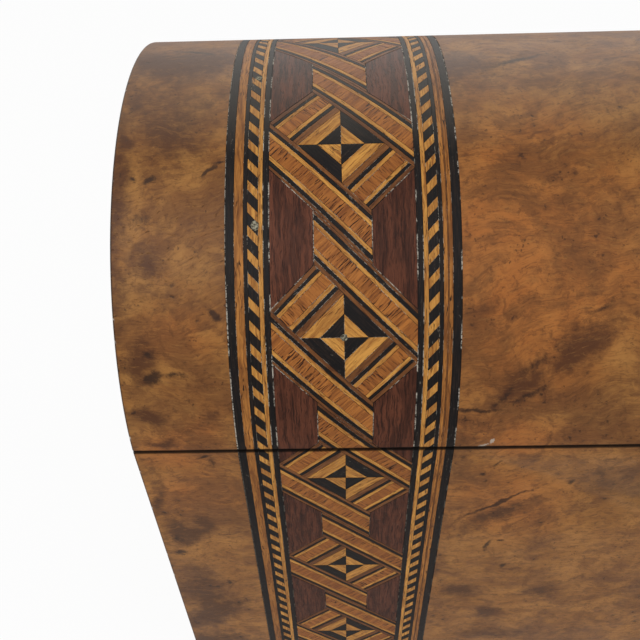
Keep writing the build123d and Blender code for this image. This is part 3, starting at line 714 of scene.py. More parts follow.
def ebony():
    """Ebonised wood: near black, with worn brown streaks and pale scuffs."""
    f = Finish("ebony")
    grain = f.grain()
    fine = f.noise(f.scaled(grain, (0.25, 3.0, 1)), 1.0, 3, 0.6)
    scuff = f.ramp(f.noise(f.scaled(grain, (0.7, 1.8, 1)), 1.0, 6, 0.75), 0.60, 0.68)
    where = f.ramp(f.noise(grain, 0.08, 3), 0.46, 0.62)
    colour = f.mix(tone(17, 14, 14), (tone(40, 30, 25), f.ramp(fine, 0.42, 0.75)),
                   (tone(128, 120, 108), scuff * where * 0.75))
    return with_painted_shade_and_sheen(f, colour, 0.36 + 0.2 * fine, f.bump(fine + f.noise(grain, 0.6, 2), 0.06), 0.12)


def glue():
    """Old glue in the saw cuts: dark, with pale patches, most on the lid and on a band's left."""
    f = Finish("glue")
    grain = f.grain()
    across = f.part(grain, "X")
    outer = f.ramp(0 - across, BAND_HALF - 0.5, BAND_HALF - 0.25)
    patch = f.ramp(f.noise(grain, 0.2, 2, 0.6) + 0.12 * outer, 0.46, 0.54)
    height = f.part(f.place(), "Z")
    lid = 0.25 + 0.75 * f.ramp(height, JOINT_Z - 1.0, JOINT_Z + 1.0)
    pale = patch * f.ramp(f.noise(grain, 1.8, 4, 0.75), 0.44, 0.54) * lid
    colour = f.mix(tone(22, 14, 11), (tone(192, 184, 170), pale))
    return with_painted_shade_and_sheen(f, colour, 0.6 + 0.2 * pale, f.bump(f.noise(grain, 2.0, 2), 0.05), 0.15)


def filler():
    """A spot of grey filler."""
    f = Finish("filler")
    place = f.place()
    mottle = f.noise(place, 2.2, 4, 0.7)
    colour = f.mix(tone(70, 64, 52), (tone(168, 164, 142), f.ramp(mottle, 0.42, 0.62)))
    return f.made(colour, 0.65 + 0.2 * mottle, f.bump(mottle, 0.06), Specular_IOR_Level=0.2)


def mitred(f, place):
    """1 in the end walls of the tray, whose grain runs along Y, and 0 in its long walls."""
    past_x = abs(f.part(place, "X")) - TRAY_OUT_X
    past_y = abs(f.part(place, "Y")) - TRAY_OUT_Y
    return (past_x - past_y).over(0)


def divided(f, place):
    """1 in the cross dividers of the tray and 0 in the long one."""
    return abs(f.part(place, "Y") - ROW_Y).over(DIVIDER / 2 + 0.02)


def plain_wood(name, light, dark, cross, roughness=0.45):
    """Straight-grained solid wood. Cross is False where its grain runs along X, True where it runs
    along Y, and for a piece with both a function that gives 0 and 1."""
    f = Finish(name)
    place = f.place()
    turned = f.turned(place, radians(-90))
    if callable(cross):
        mix = {0: cross(f, place), 4: place, 5: turned}
        place = f.node("Mix", {"data_type": "VECTOR"}, mix, output=1)
    elif cross:
        place = turned
    bent = f.warped(place, 0.02, 8.0)
    ripple = f.noise(f.scaled(bent, (0.012, 0.32, 0.32)), 1.0, 4, 0.6)
    pore = f.ramp(f.noise(f.scaled(bent, (0.22, 2.6, 2.6)), 1.0, 2, 0.5), 0.6, 0.72)
    colour = f.mix(light, (dark, f.ramp(ripple, 0.34, 0.68)), (tone(48, 24, 14), pore * 0.55))
    height = ripple - pore * 0.6
    return f.made(colour, roughness + 0.12 * ripple, f.bump(height, 0.06), Specular_IOR_Level=0.25)


def velvet(name, colour, worn):
    """Short cotton pile, rubbed in soft patches."""
    f = Finish(name)
    place = f.place()
    rubbed = f.ramp(f.noise(f.warped(place, 0.04, 14.0), 0.045, 4, 0.6), 0.42, 0.68)
    pile = f.noise(place, 3.2, 3, 0.7)
    colour = f.mix(colour, (worn, rubbed * 0.6), (tone(18, 4, 6), f.ramp(pile, 0.55, 0.3) * 0.5))
    return f.made(colour, 0.8 + 0.15 * pile, f.bump(pile, 0.35), Sheen_Weight=0.35,
                  Sheen_Roughness=0.4, Sheen_Tint=tone(214, 120, 116), Specular_IOR_Level=0.12)


def silk():
    """Silk satin: fine threads one way, soft crushed folds, faded in broad patches."""
    f = Finish("silk")
    place = f.place()
    thread = f.node("TexWave", {"bands_direction": "X"}, {
        "Vector": place, "Scale": 1.1, "Distortion": 1.5, "Detail": 2.0})
    crush = f.noise(f.warped(place, 0.12, 5.0), 0.22, 4, 0.6)
    faded = f.ramp(f.noise(place, 0.03, 3), 0.5, 0.72)
    colour = f.mix(tone(150, 38, 44), (tone(112, 22, 30), f.ramp(crush, 0.38, 0.66)),
                   (tone(176, 82, 76), faded * 0.5))
    height = crush * 0.85 + thread * 0.06
    return f.made(colour, 0.34 + 0.16 * crush, f.bump(height, 0.5), Sheen_Weight=0.2,
                  Sheen_Tint=tone(224, 140, 130), Specular_IOR_Level=0.4)


def grosgrain():
    """Ribbon with close crosswise ribs."""
    f = Finish("grosgrain")
    rib = f.node("TexWave", {"bands_direction": "Y"}, {"Vector": f.grain(), "Scale": 0.42})
    fleck = f.noise(f.grain(), 2.4, 3, 0.7)
    pale = f.ramp(rib * 0.7 + fleck * 0.3, 0.3, 0.8)
    colour = f.mix(tone(88, 16, 24), (tone(140, 36, 40), pale))
    return f.made(colour, 0.55 + 0.2 * fleck, f.bump(rib, 0.12), Sheen_Weight=0.15,
                  Sheen_Tint=tone(224, 140, 130), Specular_IOR_Level=0.25)


def felt():
    """Green wool baize with a nap and a little dust."""
    f = Finish("felt")
    place = f.place()
    nap = f.noise(place, 2.0, 5, 0.75)
    dust = f.ramp(f.noise(place, 0.05, 4, 0.6), 0.5, 0.75)
    colour = f.mix(tone(46, 74, 48), (tone(86, 112, 78), f.ramp(nap, 0.35, 0.7)),
                   (tone(134, 130, 104), dust * 0.3))
    return f.made(colour, 0.9 + 0.08 * nap, f.bump(nap, 0.3), Sheen_Weight=0.5)


def metal(name, bright, tarnish, roughness):
    """Old metal: tarnish in patches, fine scratches from cleaning."""
    f = Finish(name)
    place = f.place()
    patch = f.ramp(f.noise(f.warped(place, 0.3, 3.0), 0.22, 5, 0.65), 0.42, 0.64)
    scratch = f.noise(f.scaled(f.turned(place, radians(20)), (0.3, 6.0, 3.0)), 1.0, 3, 0.7)
    colour = f.mix(bright, (tarnish, patch * 0.8))
    rough = roughness + 0.22 * patch + 0.12 * scratch
    height = scratch * 0.3 - patch * 0.4
    return f.made(colour, rough, f.bump(height, 0.04), Metallic=1.0)


LID_TONES = (tone(166, 116, 60), tone(142, 92, 44), tone(108, 67, 34), tone(78, 44, 22),
             tone(36, 18, 10), tone(182, 106, 48))
CASE_TONES = (tone(174, 120, 62), tone(148, 98, 48), tone(112, 72, 40), tone(80, 49, 27),
              tone(38, 21, 12), tone(180, 106, 50))

lid_walnut = walnut("lid_walnut", LID_DARK, LID_CLOUD, LID_TONES, LID_CHIPS)
case_walnut = walnut("case_walnut", CASE_DARK, CASE_CLOUDS_AND_SHADE, CASE_TONES)
WOODS = {
    "light": streaky("light_wood", tone(218, 158, 78), tone(136, 82, 38), 0.75, 0.8, 0.6, 0.3),
    "tan": streaky("tan_wood", tone(186, 118, 56), tone(112, 62, 32), 0.75, 1.0, 0.6, 0.45, 0.5,
                   True),
    "brown": streaky("brown_wood", tone(140, 90, 48), tone(74, 42, 26), 0.7, 0.6, 0.6, 0.5),
    "stripe": streaky("stripe_wood", tone(186, 124, 60), tone(106, 62, 32), 0.8, 1.0, 0.7, 0.3),
    "ebony": ebony(),
    "rosewood": streaky("rosewood", tone(106, 60, 41), tone(38, 18, 12), 0.85, 0.7, 0.7, 0.3),
}
GLUE = glue()
FILLER = filler()
CARCASE_LONG = plain_wood("carcase_long", tone(146, 88, 54), tone(98, 52, 32), False)
CARCASE_SHORT = plain_wood("carcase_short", tone(146, 88, 54), tone(98, 52, 32), True)
TRAY_TONES = tone(140, 80, 46), tone(88, 44, 26)
TRAY_WALL_WOOD = plain_wood("tray_wall_wood", *TRAY_TONES, mitred, 0.36)
TRAY_DIVIDER_WOOD = plain_wood("tray_divider_wood", *TRAY_TONES, divided, 0.36)
VELVET = velvet("velvet", tone(104, 20, 28), tone(140, 56, 54))
SILK = silk()
GROSGRAIN = grosgrain()
FELT = felt()
BRASS = metal("brass", tone(178, 142, 84), tone(98, 70, 38), 0.3)
IRON = metal("iron", tone(150, 146, 140), tone(66, 56, 48), 0.36)
# Near black metal for the screw slots and the rings round the heads: painted shade.
SLOT_SHADE = metal("slot_shade", tone(44, 36, 28), tone(20, 16, 12), 0.6)

# Parquetry bands on the lid and on the case

SLOTS = {"light": "light_wood", "tan": "tan_wood", "brown": "tan_wood",
         "stripe": "light_wood", "ebony": "ebony_wood", "rosewood": "rosewood"}
ONLY_SEEN = ("brown", "stripe")
GLUED = (-BAND_HALF - WIDE_CUT, BAND_HALF + WIDE_CUT)
for name, face, first, repeats, high in (
    ("lid", DOME, LID_DIAMOND - PERIOD, 6, DOME_ARC - POCKET_TOP),
    ("case", FRONT, CASE_DIAMOND - 3 * PERIOD, 5, FRONT.high),
):
    forms = {wood: Form() for wood in WOODS}
    ground = Form()
    chance = Random(f"{name} band")
    for middle in (-BAND_X, BAND_X):
        band(forms, face, middle, first, repeats, high, chance)
        under = rectangle(GLUED, (face.low, high))
        veneer(ground, face, [under], 0, chance.uniform(0, 900), (GLUE_DEPTH, VENEER), middle)
    for wood, form in forms.items():
        replaced = [] if wood in ONLY_SEEN else [f"{name}_band_{wood}"]
        form.make(f"{name}_parquetry_{wood}", face.body, WOODS[wood], SLOTS[wood], replaced)
    ground.make(f"{name}_parquetry_glue", face.body, GLUE, "ebony_wood")

# Walnut veneer

BESIDE_BANDS = ((-WIDTH / 2, -BAND_X + GLUED[0]), (-BAND_X + GLUED[1], BAND_X + GLUED[0]),
                (BAND_X + GLUED[1], WIDTH / 2))


def carve_front(piece, cutter):
    """Cuts a shape out of the front veneer, which keeps its grain, and takes that shape away."""
    cut = piece.modifiers.new("cut", "BOOLEAN")
    cut.object, cut.solver = cutter, "EXACT"
    graph = bpy.context.evaluated_depsgraph_get()
    mesh = bpy.data.meshes.new_from_object(piece.evaluated_get(graph))
    piece.modifiers.clear()
    piece.data = mesh
    bpy.data.objects.remove(cutter)
    grain = mesh.attributes.get("grain") or mesh.attributes.new("grain", "FLOAT_VECTOR", "POINT")
    for vertex, place in zip(mesh.vertices, grain.data):
        place.vector = vertex.co.x / MM, vertex.co.z / MM - JOINT_Z, 0


def keyhole(margin, count=10):
    """Keyhole outline in x and z, grown by a margin, anticlockwise from its lower right."""
    radius, half = KEY_R + KEY_CLEARANCE + margin, BIT_WIDTH / 2 + SLOT_CLEARANCE + margin
    foot = BIT_R + SLOT_CLEARANCE + margin
    start = -asin(sqrt(1 - (half / radius) ** 2))
    sweep = pi - 2 * start
    turns = [start + sweep * i / count for i in range(count + 1)]
    arc = [(radius * cos(turn), KEY_Z + radius * sin(turn)) for turn in turns]
    return [(half, KEY_Z - foot), *arc, (-half, KEY_Z - foot)]


def loft(form, rings, ends=True, grain=None):
    """A skin over rings of equally many points, with a face at each end or open there."""
    count = len(rings[0])
    faces = [[r * count + i, r * count + (i + 1) % count, (r + 1) * count + (i + 1) % count,
              (r + 1) * count + i] for r in range(len(rings) - 1) for i in range(count)]
    if ends:
        last = (len(rings) - 1) * count
        faces += [list(range(count))[::-1], [last + i for i in range(count)]]
    form.add([point for ring in rings for point in ring], faces, grain)


def hoop(form, rings):
    """A skin over rings that come round to the first again."""
    loft(form, [*rings, rings[0]], ends=False)


def veneered(name, body, finish, replaced, face, outlines, seed=0.0):
    """A piece of walnut veneer over flat outlines, its seed 0 only on the front and the dome."""
    form = Form()
    for outline in outlines:
        veneer(form, face, outline, 0, seed)
    return form.make(name, body, finish, "walnut_veneer", [replaced])


sheets = [[rectangle(u, (DOME.low, DOME.high))] for u in BESIDE_BANDS]
veneered("lid_walnut_dome", "lid", lid_walnut, "lid_veneer_dome", DOME, sheets)
sheets = [[rectangle(u, (FRONT.low, FRONT.high))] for u in BESIDE_BANDS]
front = veneered("case_walnut_front", "case", case_walnut, "case_veneer_front", FRONT, sheets)
form = Form()
loft(form, [[(x, y, z) for x, z in keyhole(ESCUTCHEON_RIM)] for y in (-DEPTH / 2 - 3, -CORE_Y + 2)])
carve_front(front, form.make("keyhole_cutter", "case", case_walnut, "walnut_veneer"))

# The back has a recess for each hinge leaf
pocket = HINGE_LENGTH / 2
columns = [-WIDTH / 2, -BAND_X - pocket, -BAND_X + pocket, BAND_X - pocket, BAND_X + pocket,
           WIDTH / 2]
columns = list(zip(columns, columns[1:]))
cells = []
for index, u in enumerate(columns):
    cells.append(rectangle(u, (BACK.low, -POCKET_TOP)))
    if index % 2 == 0:
        cells.append(rectangle(u, (-POCKET_TOP, BACK.high)))
veneered("case_walnut_back", "case", case_walnut, "case_veneer_back", BACK, [cells], 300.0)

for (side, face), seed in zip(CASE_ENDS, (100.0, 200.0)):
    sheets = [[rectangle((-CORE_Y, CORE_Y), (face.low, face.high))]]
    veneered(f"case_walnut_{side}", "case", case_walnut, f"case_veneer_{side}", face, sheets, seed)

segment_r = DOME_R - VENEER
lean = asin((JOINT_Z + LIFT - DOME_Z) / segment_r)
angles = [lean + (pi - 2 * lean) * i / 96 for i in range(97)]
segment = [(segment_r * cos(angle), DOME_Z - JOINT_Z + segment_r * sin(angle)) for angle in angles]
for (side, face), seed in zip(LID_ENDS, (400.0, 500.0)):
    replaced = f"lid_veneer_{side}"
    veneered(f"lid_walnut_{side}", "lid", lid_walnut, replaced, face, [[segment]], seed)

# Filler at the middle of the lid's lowest left diamond and in its rope: u, w and radius

form = Form()
chance = Random("filler")
for u, w, radius in ((-BAND_X, LID_DIAMOND, 0.78), (-90.95, 50.6, 0.95), (-91.0, 88.2, 0.8)):
    spot = [(radius * cos(2 * pi * i / 12) * chance.uniform(0.75, 1.2),
             w + radius * sin(2 * pi * i / 12) * chance.uniform(0.75, 1.2)) for i in range(12)]
    veneer(form, DOME, [spot], 0, 0.0, (-0.03, 0.4), u)
form.make("lid_filler_spot", "lid", FILLER, "light_wood")

# Carcase, linings and fittings that keep their CAD shape


def dress(node, finish, soft=0.0):
    """Gives a CAD node its finish, and softens its edges by a width."""
    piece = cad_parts[node]
    piece.data.materials.clear()
    piece.data.materials.append(finish)
    if soft:
        piece.modifiers.new("weld", "WELD").merge_threshold = 1e-6
        bevel = piece.modifiers.new("soft edges", "BEVEL")
        bevel.width, bevel.segments, bevel.limit_method = soft * MM, 2, "ANGLE"
        bevel.angle_limit = radians(32)


for node in ("case_front", "case_back", "case_bottom"):
    dress(node, CARCASE_LONG, 0.15)
dress("lid_staves", CARCASE_LONG)
for node in ("case_right", "case_left", "lid_end_right", "lid_end_left", "tray_runners"):
    dress(node, CARCASE_SHORT, 0.15)
for node in ("lining_front", "lining_back", "lining_right", "lining_left"):
    dress(node, VELVET, 0.35)
dress("tray_floor", TRAY_WALL_WOOD, 0.3)
dress("tray_dividers", TRAY_DIVIDER_WOOD, 0.3)
for node in ("hinge_case_leaves", "hinge_lid_leaves", "hinge_pins", "lock_plate", "link_plate"):
    dress(node, BRASS, 0.12)
for node in ("lock_case", "lock_bolt"):
    dress(node, IRON, 0.1)

# Escutcheon: a thin brass rim let in round the keyhole. Its profile is the margin round the hole
# and how far behind the front, from the outside over the top to the inside.

profile = ((ESCUTCHEON_RIM - 0.02, 1.0), (ESCUTCHEON_RIM - 0.02, 0.02),
           (ESCUTCHEON_RIM - 0.12, -0.1), (ESCUTCHEON_RIM - 0.35, -ESCUTCHEON_STAND),
           (0.35, -ESCUTCHEON_STAND), (0.12, -0.08), (0.0, 0.05), (0.0, 1.0))
form = Form()
hoop(form, [[(x, y - DEPTH / 2, z) for x, z in keyhole(margin, 24)] for margin, y in profile])
form.make("keyhole_rim", "case", BRASS, "brass", ["escutcheon"])

# Key: a turned shank by its places along Y and its radii, a bow that swells at its sides, and a
# bit with one ward cut


def circle(middle, a, b, count=24):
    """Points round a middle. Two vectors give the directions and the radii."""
    turns = [2 * pi * k / count for k in range(count)]
    return [Vector(middle) + cos(turn) * a + sin(turn) * b for turn in turns]


TIP_Y, BOW_Y, BIT_Y = -55.6, -83.0, -57.15
BOW_DEPTH, BOW_HEIGHT = 5.5, 7.5
form = Form()
shank = ((-76.6, 1.2), (-76.3, 2.0), (-75.6, 2.0), (-75.2, 1.55), (-74.8, 1.55), (-74.4, 2.0),
         (-73.8, 2.0), (-73.4, 1.65), (-60.0, 1.65), (-59.4, 1.85), (TIP_Y - 0.3, 1.85),
         (TIP_Y, 1.5))
loft(form, [circle((0, y, KEY_Z), radius * X, radius * Z) for y, radius in shank])
rings = []
for i in range(48):
    turn = 2 * pi * i / 48
    middle = (0, BOW_Y + BOW_DEPTH * cos(turn), KEY_Z + BOW_HEIGHT * sin(turn))
    swell = 1.25 + 0.2 * abs(sin(turn))
    rings.append(circle(middle, 0.92 * swell * X, swell * (cos(turn) * Y + sin(turn) * Z), 12))
hoop(form, rings)
bit = [(-1.35, 0.0), (1.35, 0.0), (1.35, -5.4), (0.45, -5.4), (0.45, -4.0), (-0.35, -4.0),
       (-0.35, -5.4), (-1.35, -5.4)]
loft(form, [[(x, BIT_Y + y, KEY_Z + z) for y, z in bit] for x in (0.9, -0.9)])
form.make("key_turned", "key", IRON, "iron", ["key"])

# Screws with slotted heads, in the hinges and the lock plates

SLOT_HALF, SLOT_REACH, RIM_WIDTH = 0.22, 0.86, 0.16


def screw(form, place, radius, up):
    """A screw head let in flush, facing up or down."""
    profile = ((radius, -0.3), (radius, 0.0), (radius - 0.12, 0.025), (radius - 0.3, 0.03))
    loft(form, [circle(place + up * rise * Z, r * X, r * Y) for r, rise in profile])


def slot(form, place, radius, up, turn):
    """Painted shade for a screw head: its dark slot and a dark ring round its rim."""
    along, side = cos(turn) * X + sin(turn) * Y, SLOT_HALF * (cos(turn) * Y - sin(turn) * X)
    along = along * radius * SLOT_REACH
    corners = [place + along + side, place - along + side, place - along - side,
               place + along - side]
    loft(form, [[corner + up * rise * Z for corner in corners] for rise in (-0.1, 0.034)])
    outer = radius + RIM_WIDTH
    profile = ((radius, -0.1), (outer, -0.1), (outer, 0.012), (radius, 0.012))
    hoop(form, [circle(place + up * rise * Z, r * X, r * Y) for r, rise in profile])


chance = Random("screws")
heads, slots = {"case": Form(), "lid": Form()}, {"case": Form(), "lid": Form()}
places = []
for hinge in (-BAND_X, BAND_X):
    for x in (hinge - 12.0, hinge, hinge + 12.0):
        places += [("case", (x, SCREW_Y, JOINT_Z - LEAF_GAP), 1.6, 1),
                   ("lid", (x, SCREW_Y, JOINT_Z + LEAF_GAP), 1.6, -1)]
for x in (3.4 - PLATE_WIDTH / 2, PLATE_WIDTH / 2 - 3.4):
    places += [("case", (x, PLATE_SCREW_Y, CASE_TOP), 1.7, 1),
               ("lid", (x, PLATE_SCREW_Y, JOINT_Z + LEAF_GAP), 1.7, -1)]
for body, place, radius, up in places:
    screw(heads[body], Vector(place), radius, up)
    slot(slots[body], Vector(place), radius, up, chance.uniform(0, pi))
for body in heads:
    heads[body].make(f"{body}_screws", body, BRASS, "brass")
    slots[body].make(f"{body}_screw_slots", body, SLOT_SHADE, "iron")

# Soft goods

# How far the sides of a pad are pulled in between its corners
PAD_PULL = 0.35


def skin(form, layers, nx, ny):
    """A closed skin over two layers of points, each nx by ny squares, joined round the rim."""
    across, size = nx + 1, (nx + 1) * (ny + 1)
    faces = []
    for j in range(ny):
        for i in range(nx):
            a = j * across + i
            square = [a, a + 1, a + across + 1, a + across]
            faces += [square, [size + corner for corner in reversed(square)]]
    rim = ([*range(nx)] + [nx + j * across for j in range(ny)]
           + [ny * across + i for i in range(nx, 0, -1)] + [j * across for j in range(ny, 0, -1)])
    faces += [[b, a, size + a, size + b] for a, b in zip(rim, rim[1:] + rim[:1])]
    form.add([*layers[0], *layers[1]], faces)


def pad(form, x, y, z, crown, count=(28, 18)):
    """A stuffed pad on a flat base, full in the middle and pulled in between its corners."""
    nx, ny = count
    layers = [], []
    for level, layer in enumerate(layers):
        for j in range(ny + 1):
            for i in range(nx + 1):
                a, b = 2 * i / nx - 1, 2 * j / ny - 1
                pull_x = PAD_PULL * (1 - b * b) if abs(a) == 1 else 0
                pull_y = PAD_PULL * (1 - a * a) if abs(b) == 1 else 0
                px = (x[0] + x[1]) / 2 + a * ((x[1] - x[0]) / 2 - pull_x)
                py = (y[0] + y[1]) / 2 + b * ((y[1] - y[0]) / 2 - pull_y)
                swell = ((1 - a**8) * (1 - b**8)) ** 0.5
                rise = (z[1] - z[0]) * (0.35 + 0.65 * swell)
                rise += crown * swell * (1 - a * a) * (1 - b * b)
                layer.append((px, py, z[0] + level * rise))
    skin(form, layers, nx, ny)


# Lid padding: silk over stuffing, drawn down by buttons, inside the arch of the lid. Its places
# are x along the lid and s round the arch.

PAD_R = DOME_R - VENEER - BOARD - 0.2
PAD_CROWN, PAD_EDGE_Y, PAD_FOOT_Z = 6.0, 52.9, 121.0
PUFF_RISE, PUFF_SUNK = 5.6, 2.6
WELT = 1.2
pad_top = DOME_Z + PAD_R - PAD_CROWN
pad_rise = pad_top - JOINT_Z
pad_inner = (pad_rise**2 + PAD_EDGE_Y**2) / (2 * pad_rise)
pad_middle = pad_top - pad_inner
pad_start = asin((PAD_FOOT_Z - pad_middle) / pad_inner)
pad_arc = (pi - 2 * pad_start) * pad_inner
pad_half = CORE_X - BOARD - 1.1
BUTTON_X, BUTTON_S = 2 * pad_half / 6, pad_arc / 3


def puff(x, s):
    """The height of the padding, from 0 at a button to 1 where it is fullest."""
    across, round_arch = x / BUTTON_X, s / BUTTON_S
    first, second = abs(sin(pi * (across + round_arch))), abs(sin(pi * (across - round_arch)))
    fold = (first * second) ** 0.5
    rest = 1 - (1 - first * first) * (1 - second * second)
    return 0.75 * fold + 0.25 * rest


def pad_point(x, s, rise):
    """A point on the padding's lining side, standing off it towards the inside."""
    angle = pad_start + s / pad_inner
    radius = pad_inner - rise
    return Vector((x, radius * cos(angle), pad_middle + radius * sin(angle)))


form = Form()
nx, ns = 132, 84
inside, outside = [], []
lean = asin((PAD_FOOT_Z - DOME_Z) / PAD_R)
for j in range(ns + 1):
    s, angle = pad_arc * j / ns, lean + (pi - 2 * lean) * j / ns
    for i in range(nx + 1):
        x = pad_half * (2 * i / nx - 1)
        hold = min(min(pad_half - abs(x), s, pad_arc - s) / 5, 1) ** 0.5
        crease = 0.16 * sin(5.1 * x + 2.3 * s) * (1 - puff(x, s)) ** 2
        inside.append(pad_point(x, s, hold * (PUFF_RISE * puff(x, s) - PUFF_SUNK + crease)))
        outside.append((x, PAD_R * cos(angle), DOME_Z + PAD_R * sin(angle)))
skin(form, (inside, outside), nx, ns)
padding = form.make("lid_padding_silk", "lid", SILK, "silk", ["lid_padding"], sharp=80.0)

form = Form()
button = ((2.0, -3.0), (3.1, -2.4), (3.3, -1.6), (2.8, -0.8), (1.6, -0.35), (0.3, -0.2))
for m in range(-11, 12):
    for n in range(1, 6):
        x, s = m * BUTTON_X / 2, n * BUTTON_S / 2
        if (m + n) % 2 or abs(x) > pad_half - 8 or min(s, pad_arc - s) < 8:
            continue
        angle = pad_start + s / pad_inner
        along = cos(angle) * Z - sin(angle) * Y
        loft(form, [circle(pad_point(x, s, rise), radius * X, radius * along, 16)
                    for radius, rise in button])
form.make("lid_padding_buttons", "lid", SILK, "silk", sharp=60.0)

form = Form()
inset = pad_half - WELT
arch = [pad_arc * i / 60 for i in range(61)]
edge = [2 * inset * i / 80 - inset for i in range(1, 80)]
path = [pad_point(-inset, s, 0.9) for s in arch] + [pad_point(x, pad_arc, 0.9) for x in edge]
path += [pad_point(inset, s, 0.9) for s in reversed(arch)]
path += [pad_point(x, 0, 0.9) for x in reversed(edge)]
rings = []
for before, point, after in zip(path[-1:] + path, path, path[1:] + path[:1]):
    ahead = (after - before).normalized()
    side = ahead.cross(Vector((0.01, 0.02, 1))).normalized()
    rings.append(circle(point, WELT * side, WELT * side.cross(ahead), 10))
hoop(form, rings)
form.make("lid_padding_piping", "lid", SILK, "silk", sharp=60.0)

# Silk end panels of the lid, gathered in fine folds that fan out from the middle of the foot

STAVES, STAVE_LEAN = 9, radians(4.0)
PANEL_LEAN = radians(8)
FOLD_DEPTH, FOLDS = 0.28, 70
stave_step = (pi - 2 * STAVE_LEAN) / STAVES
panel_r = (DOME_R - VENEER - BOARD) / cos(stave_step / 2) - 1.2
panel_foot = JOINT_Z + LIFT + 1.3
for side, name in ((-1, "left"), (1, "right")):
    form = Form()
    count, rows, layers = 180, 8, ([], [])
    for back, layer in enumerate(layers):
        for j in range(rows + 1):
            for i in range(count + 1):
                angle = PANEL_LEAN + (pi - 2 * PANEL_LEAN) * i / count
                reach = panel_r * (0.06 + 0.94 * j / rows)
                fold = FOLD_DEPTH * sin(angle * FOLDS) * min(1, 0.35 + j / rows)
                x = side * (CORE_X - BOARD - (0.1 if back else 0.75 + fold))
                layer.append((x, reach * cos(angle), panel_foot + 0.86 * reach * sin(angle)))
    skin(form, layers, count, rows)
    form.make(f"lid_end_silk_{name}", "lid", SILK, "silk", [f"lid_end_lining_{name}"], sharp=80.0)

# Tray: four mitred walls with softened rims

form = Form()
wall_width = TRAY_OUT_X - TRAY_IN_X
soft = ((0, 0.4), (0.12, 0.12), (0.4, 0))
section = [(0, TRAY_FOOT), (wall_width, TRAY_FOOT)]
section += [(wall_width - back, TRAY_TOP - drop) for back, drop in soft]
section += [(back, TRAY_TOP - drop) for back, drop in reversed(soft)]
for side in (-1, 1):
    long_wall, short_wall = [], []
    for end in (-1, 1):
        long_wall.append([(end * (TRAY_IN_X + out - MITRE_GAP), side * (TRAY_IN_Y + out), z)
                          for out, z in section])
        short_wall.append([(side * (TRAY_IN_X + out), end * (TRAY_IN_Y + out - MITRE_GAP), z)
                           for out, z in section])
    loft(form, long_wall)
    loft(form, short_wall)
form.make("tray_mitred_walls", "tray", TRAY_WALL_WOOD, "tray_wood", ["tray_walls"], sharp=15.0)

# Ring rolls of the tray: velvet over stuffing, side by side

ROLLS, ROLL_TOP = 4, 91.0
CLEAR = 0.3
split = TRAY_IN_X / 3
roll_pitch = (TRAY_IN_Y - ROW_Y - DIVIDER / 2) / ROLLS
roll_r = roll_pitch / 2 - 0.12
roll_x = (CLEAR - TRAY_IN_X, split - DIVIDER / 2 - CLEAR)
chance = Random("rolls")
form = Form()
for index in range(ROLLS):
    middle = ROW_Y + DIVIDER / 2 + (index + 0.5) * roll_pitch
    phase = chance.uniform(0, 6)
    rings = []
    for i in range(61):
        share = i / 60
        close = (1 - abs(2 * share - 1) ** 24) ** 0.5 * 0.9 + 0.1
        x = roll_x[0] + (roll_x[1] - roll_x[0]) * share
        radius = roll_r * close * (1 + 0.012 * sin(14 * share + phase))
        crown = ROLL_TOP - roll_r + 0.25 * sin(9 * share + phase) - (1 - close) * 2
        turns = [pi * k / 12 for k in range(13)]
        ring = [(x, middle + radius * cos(turn), crown - 0.25 + radius * sin(turn))
                for turn in turns]
        ring += [(x, middle + side * radius, TRAY_DECK + rise)
                 for side, rise in ((-1, 4), (-0.82, 0.1), (0.82, 0.1), (1, 4))]
        rings.append(ring)
    loft(form, rings)
rolls = form.make("tray_ring_rolls", "tray", VELVET, "velvet", ["ring_rolls"], sharp=60.0)

# Velvet pads on the floors of the tray and of the case

form = Form()
deck = (TRAY_DECK, TRAY_DECK + 0.9)
off = DIVIDER / 2 + CLEAR
near_row, far_row = (CLEAR - TRAY_IN_Y, ROW_Y - off), (ROW_Y + off, TRAY_IN_Y - CLEAR)
left, centre = (CLEAR - TRAY_IN_X, -split - off), (off - split, split - off)
right = (split + off, TRAY_IN_X - CLEAR)
for x, y in ((left, near_row), (centre, near_row), (right, near_row), (right, far_row)):
    pad(form, x, y, deck, 0.9)
pads = form.make("tray_velvet_pads", "tray", VELVET, "velvet", ["tray_lining"], sharp=60.0)

form = Form()
pad(form, (-107.8, 107.8), (-50.8, 50.8), (6.8, 8.9), 0.9, count=(60, 30))
floor_pad = form.make("case_floor_velvet", "case", VELVET, "velvet", ["floor_lining"], sharp=60.0)

# Ribbon pulls at the ends of the tray, each folded over once. Its line runs from the inner face
# of the wall as how far it stands off and how far it rises above the tray's top.

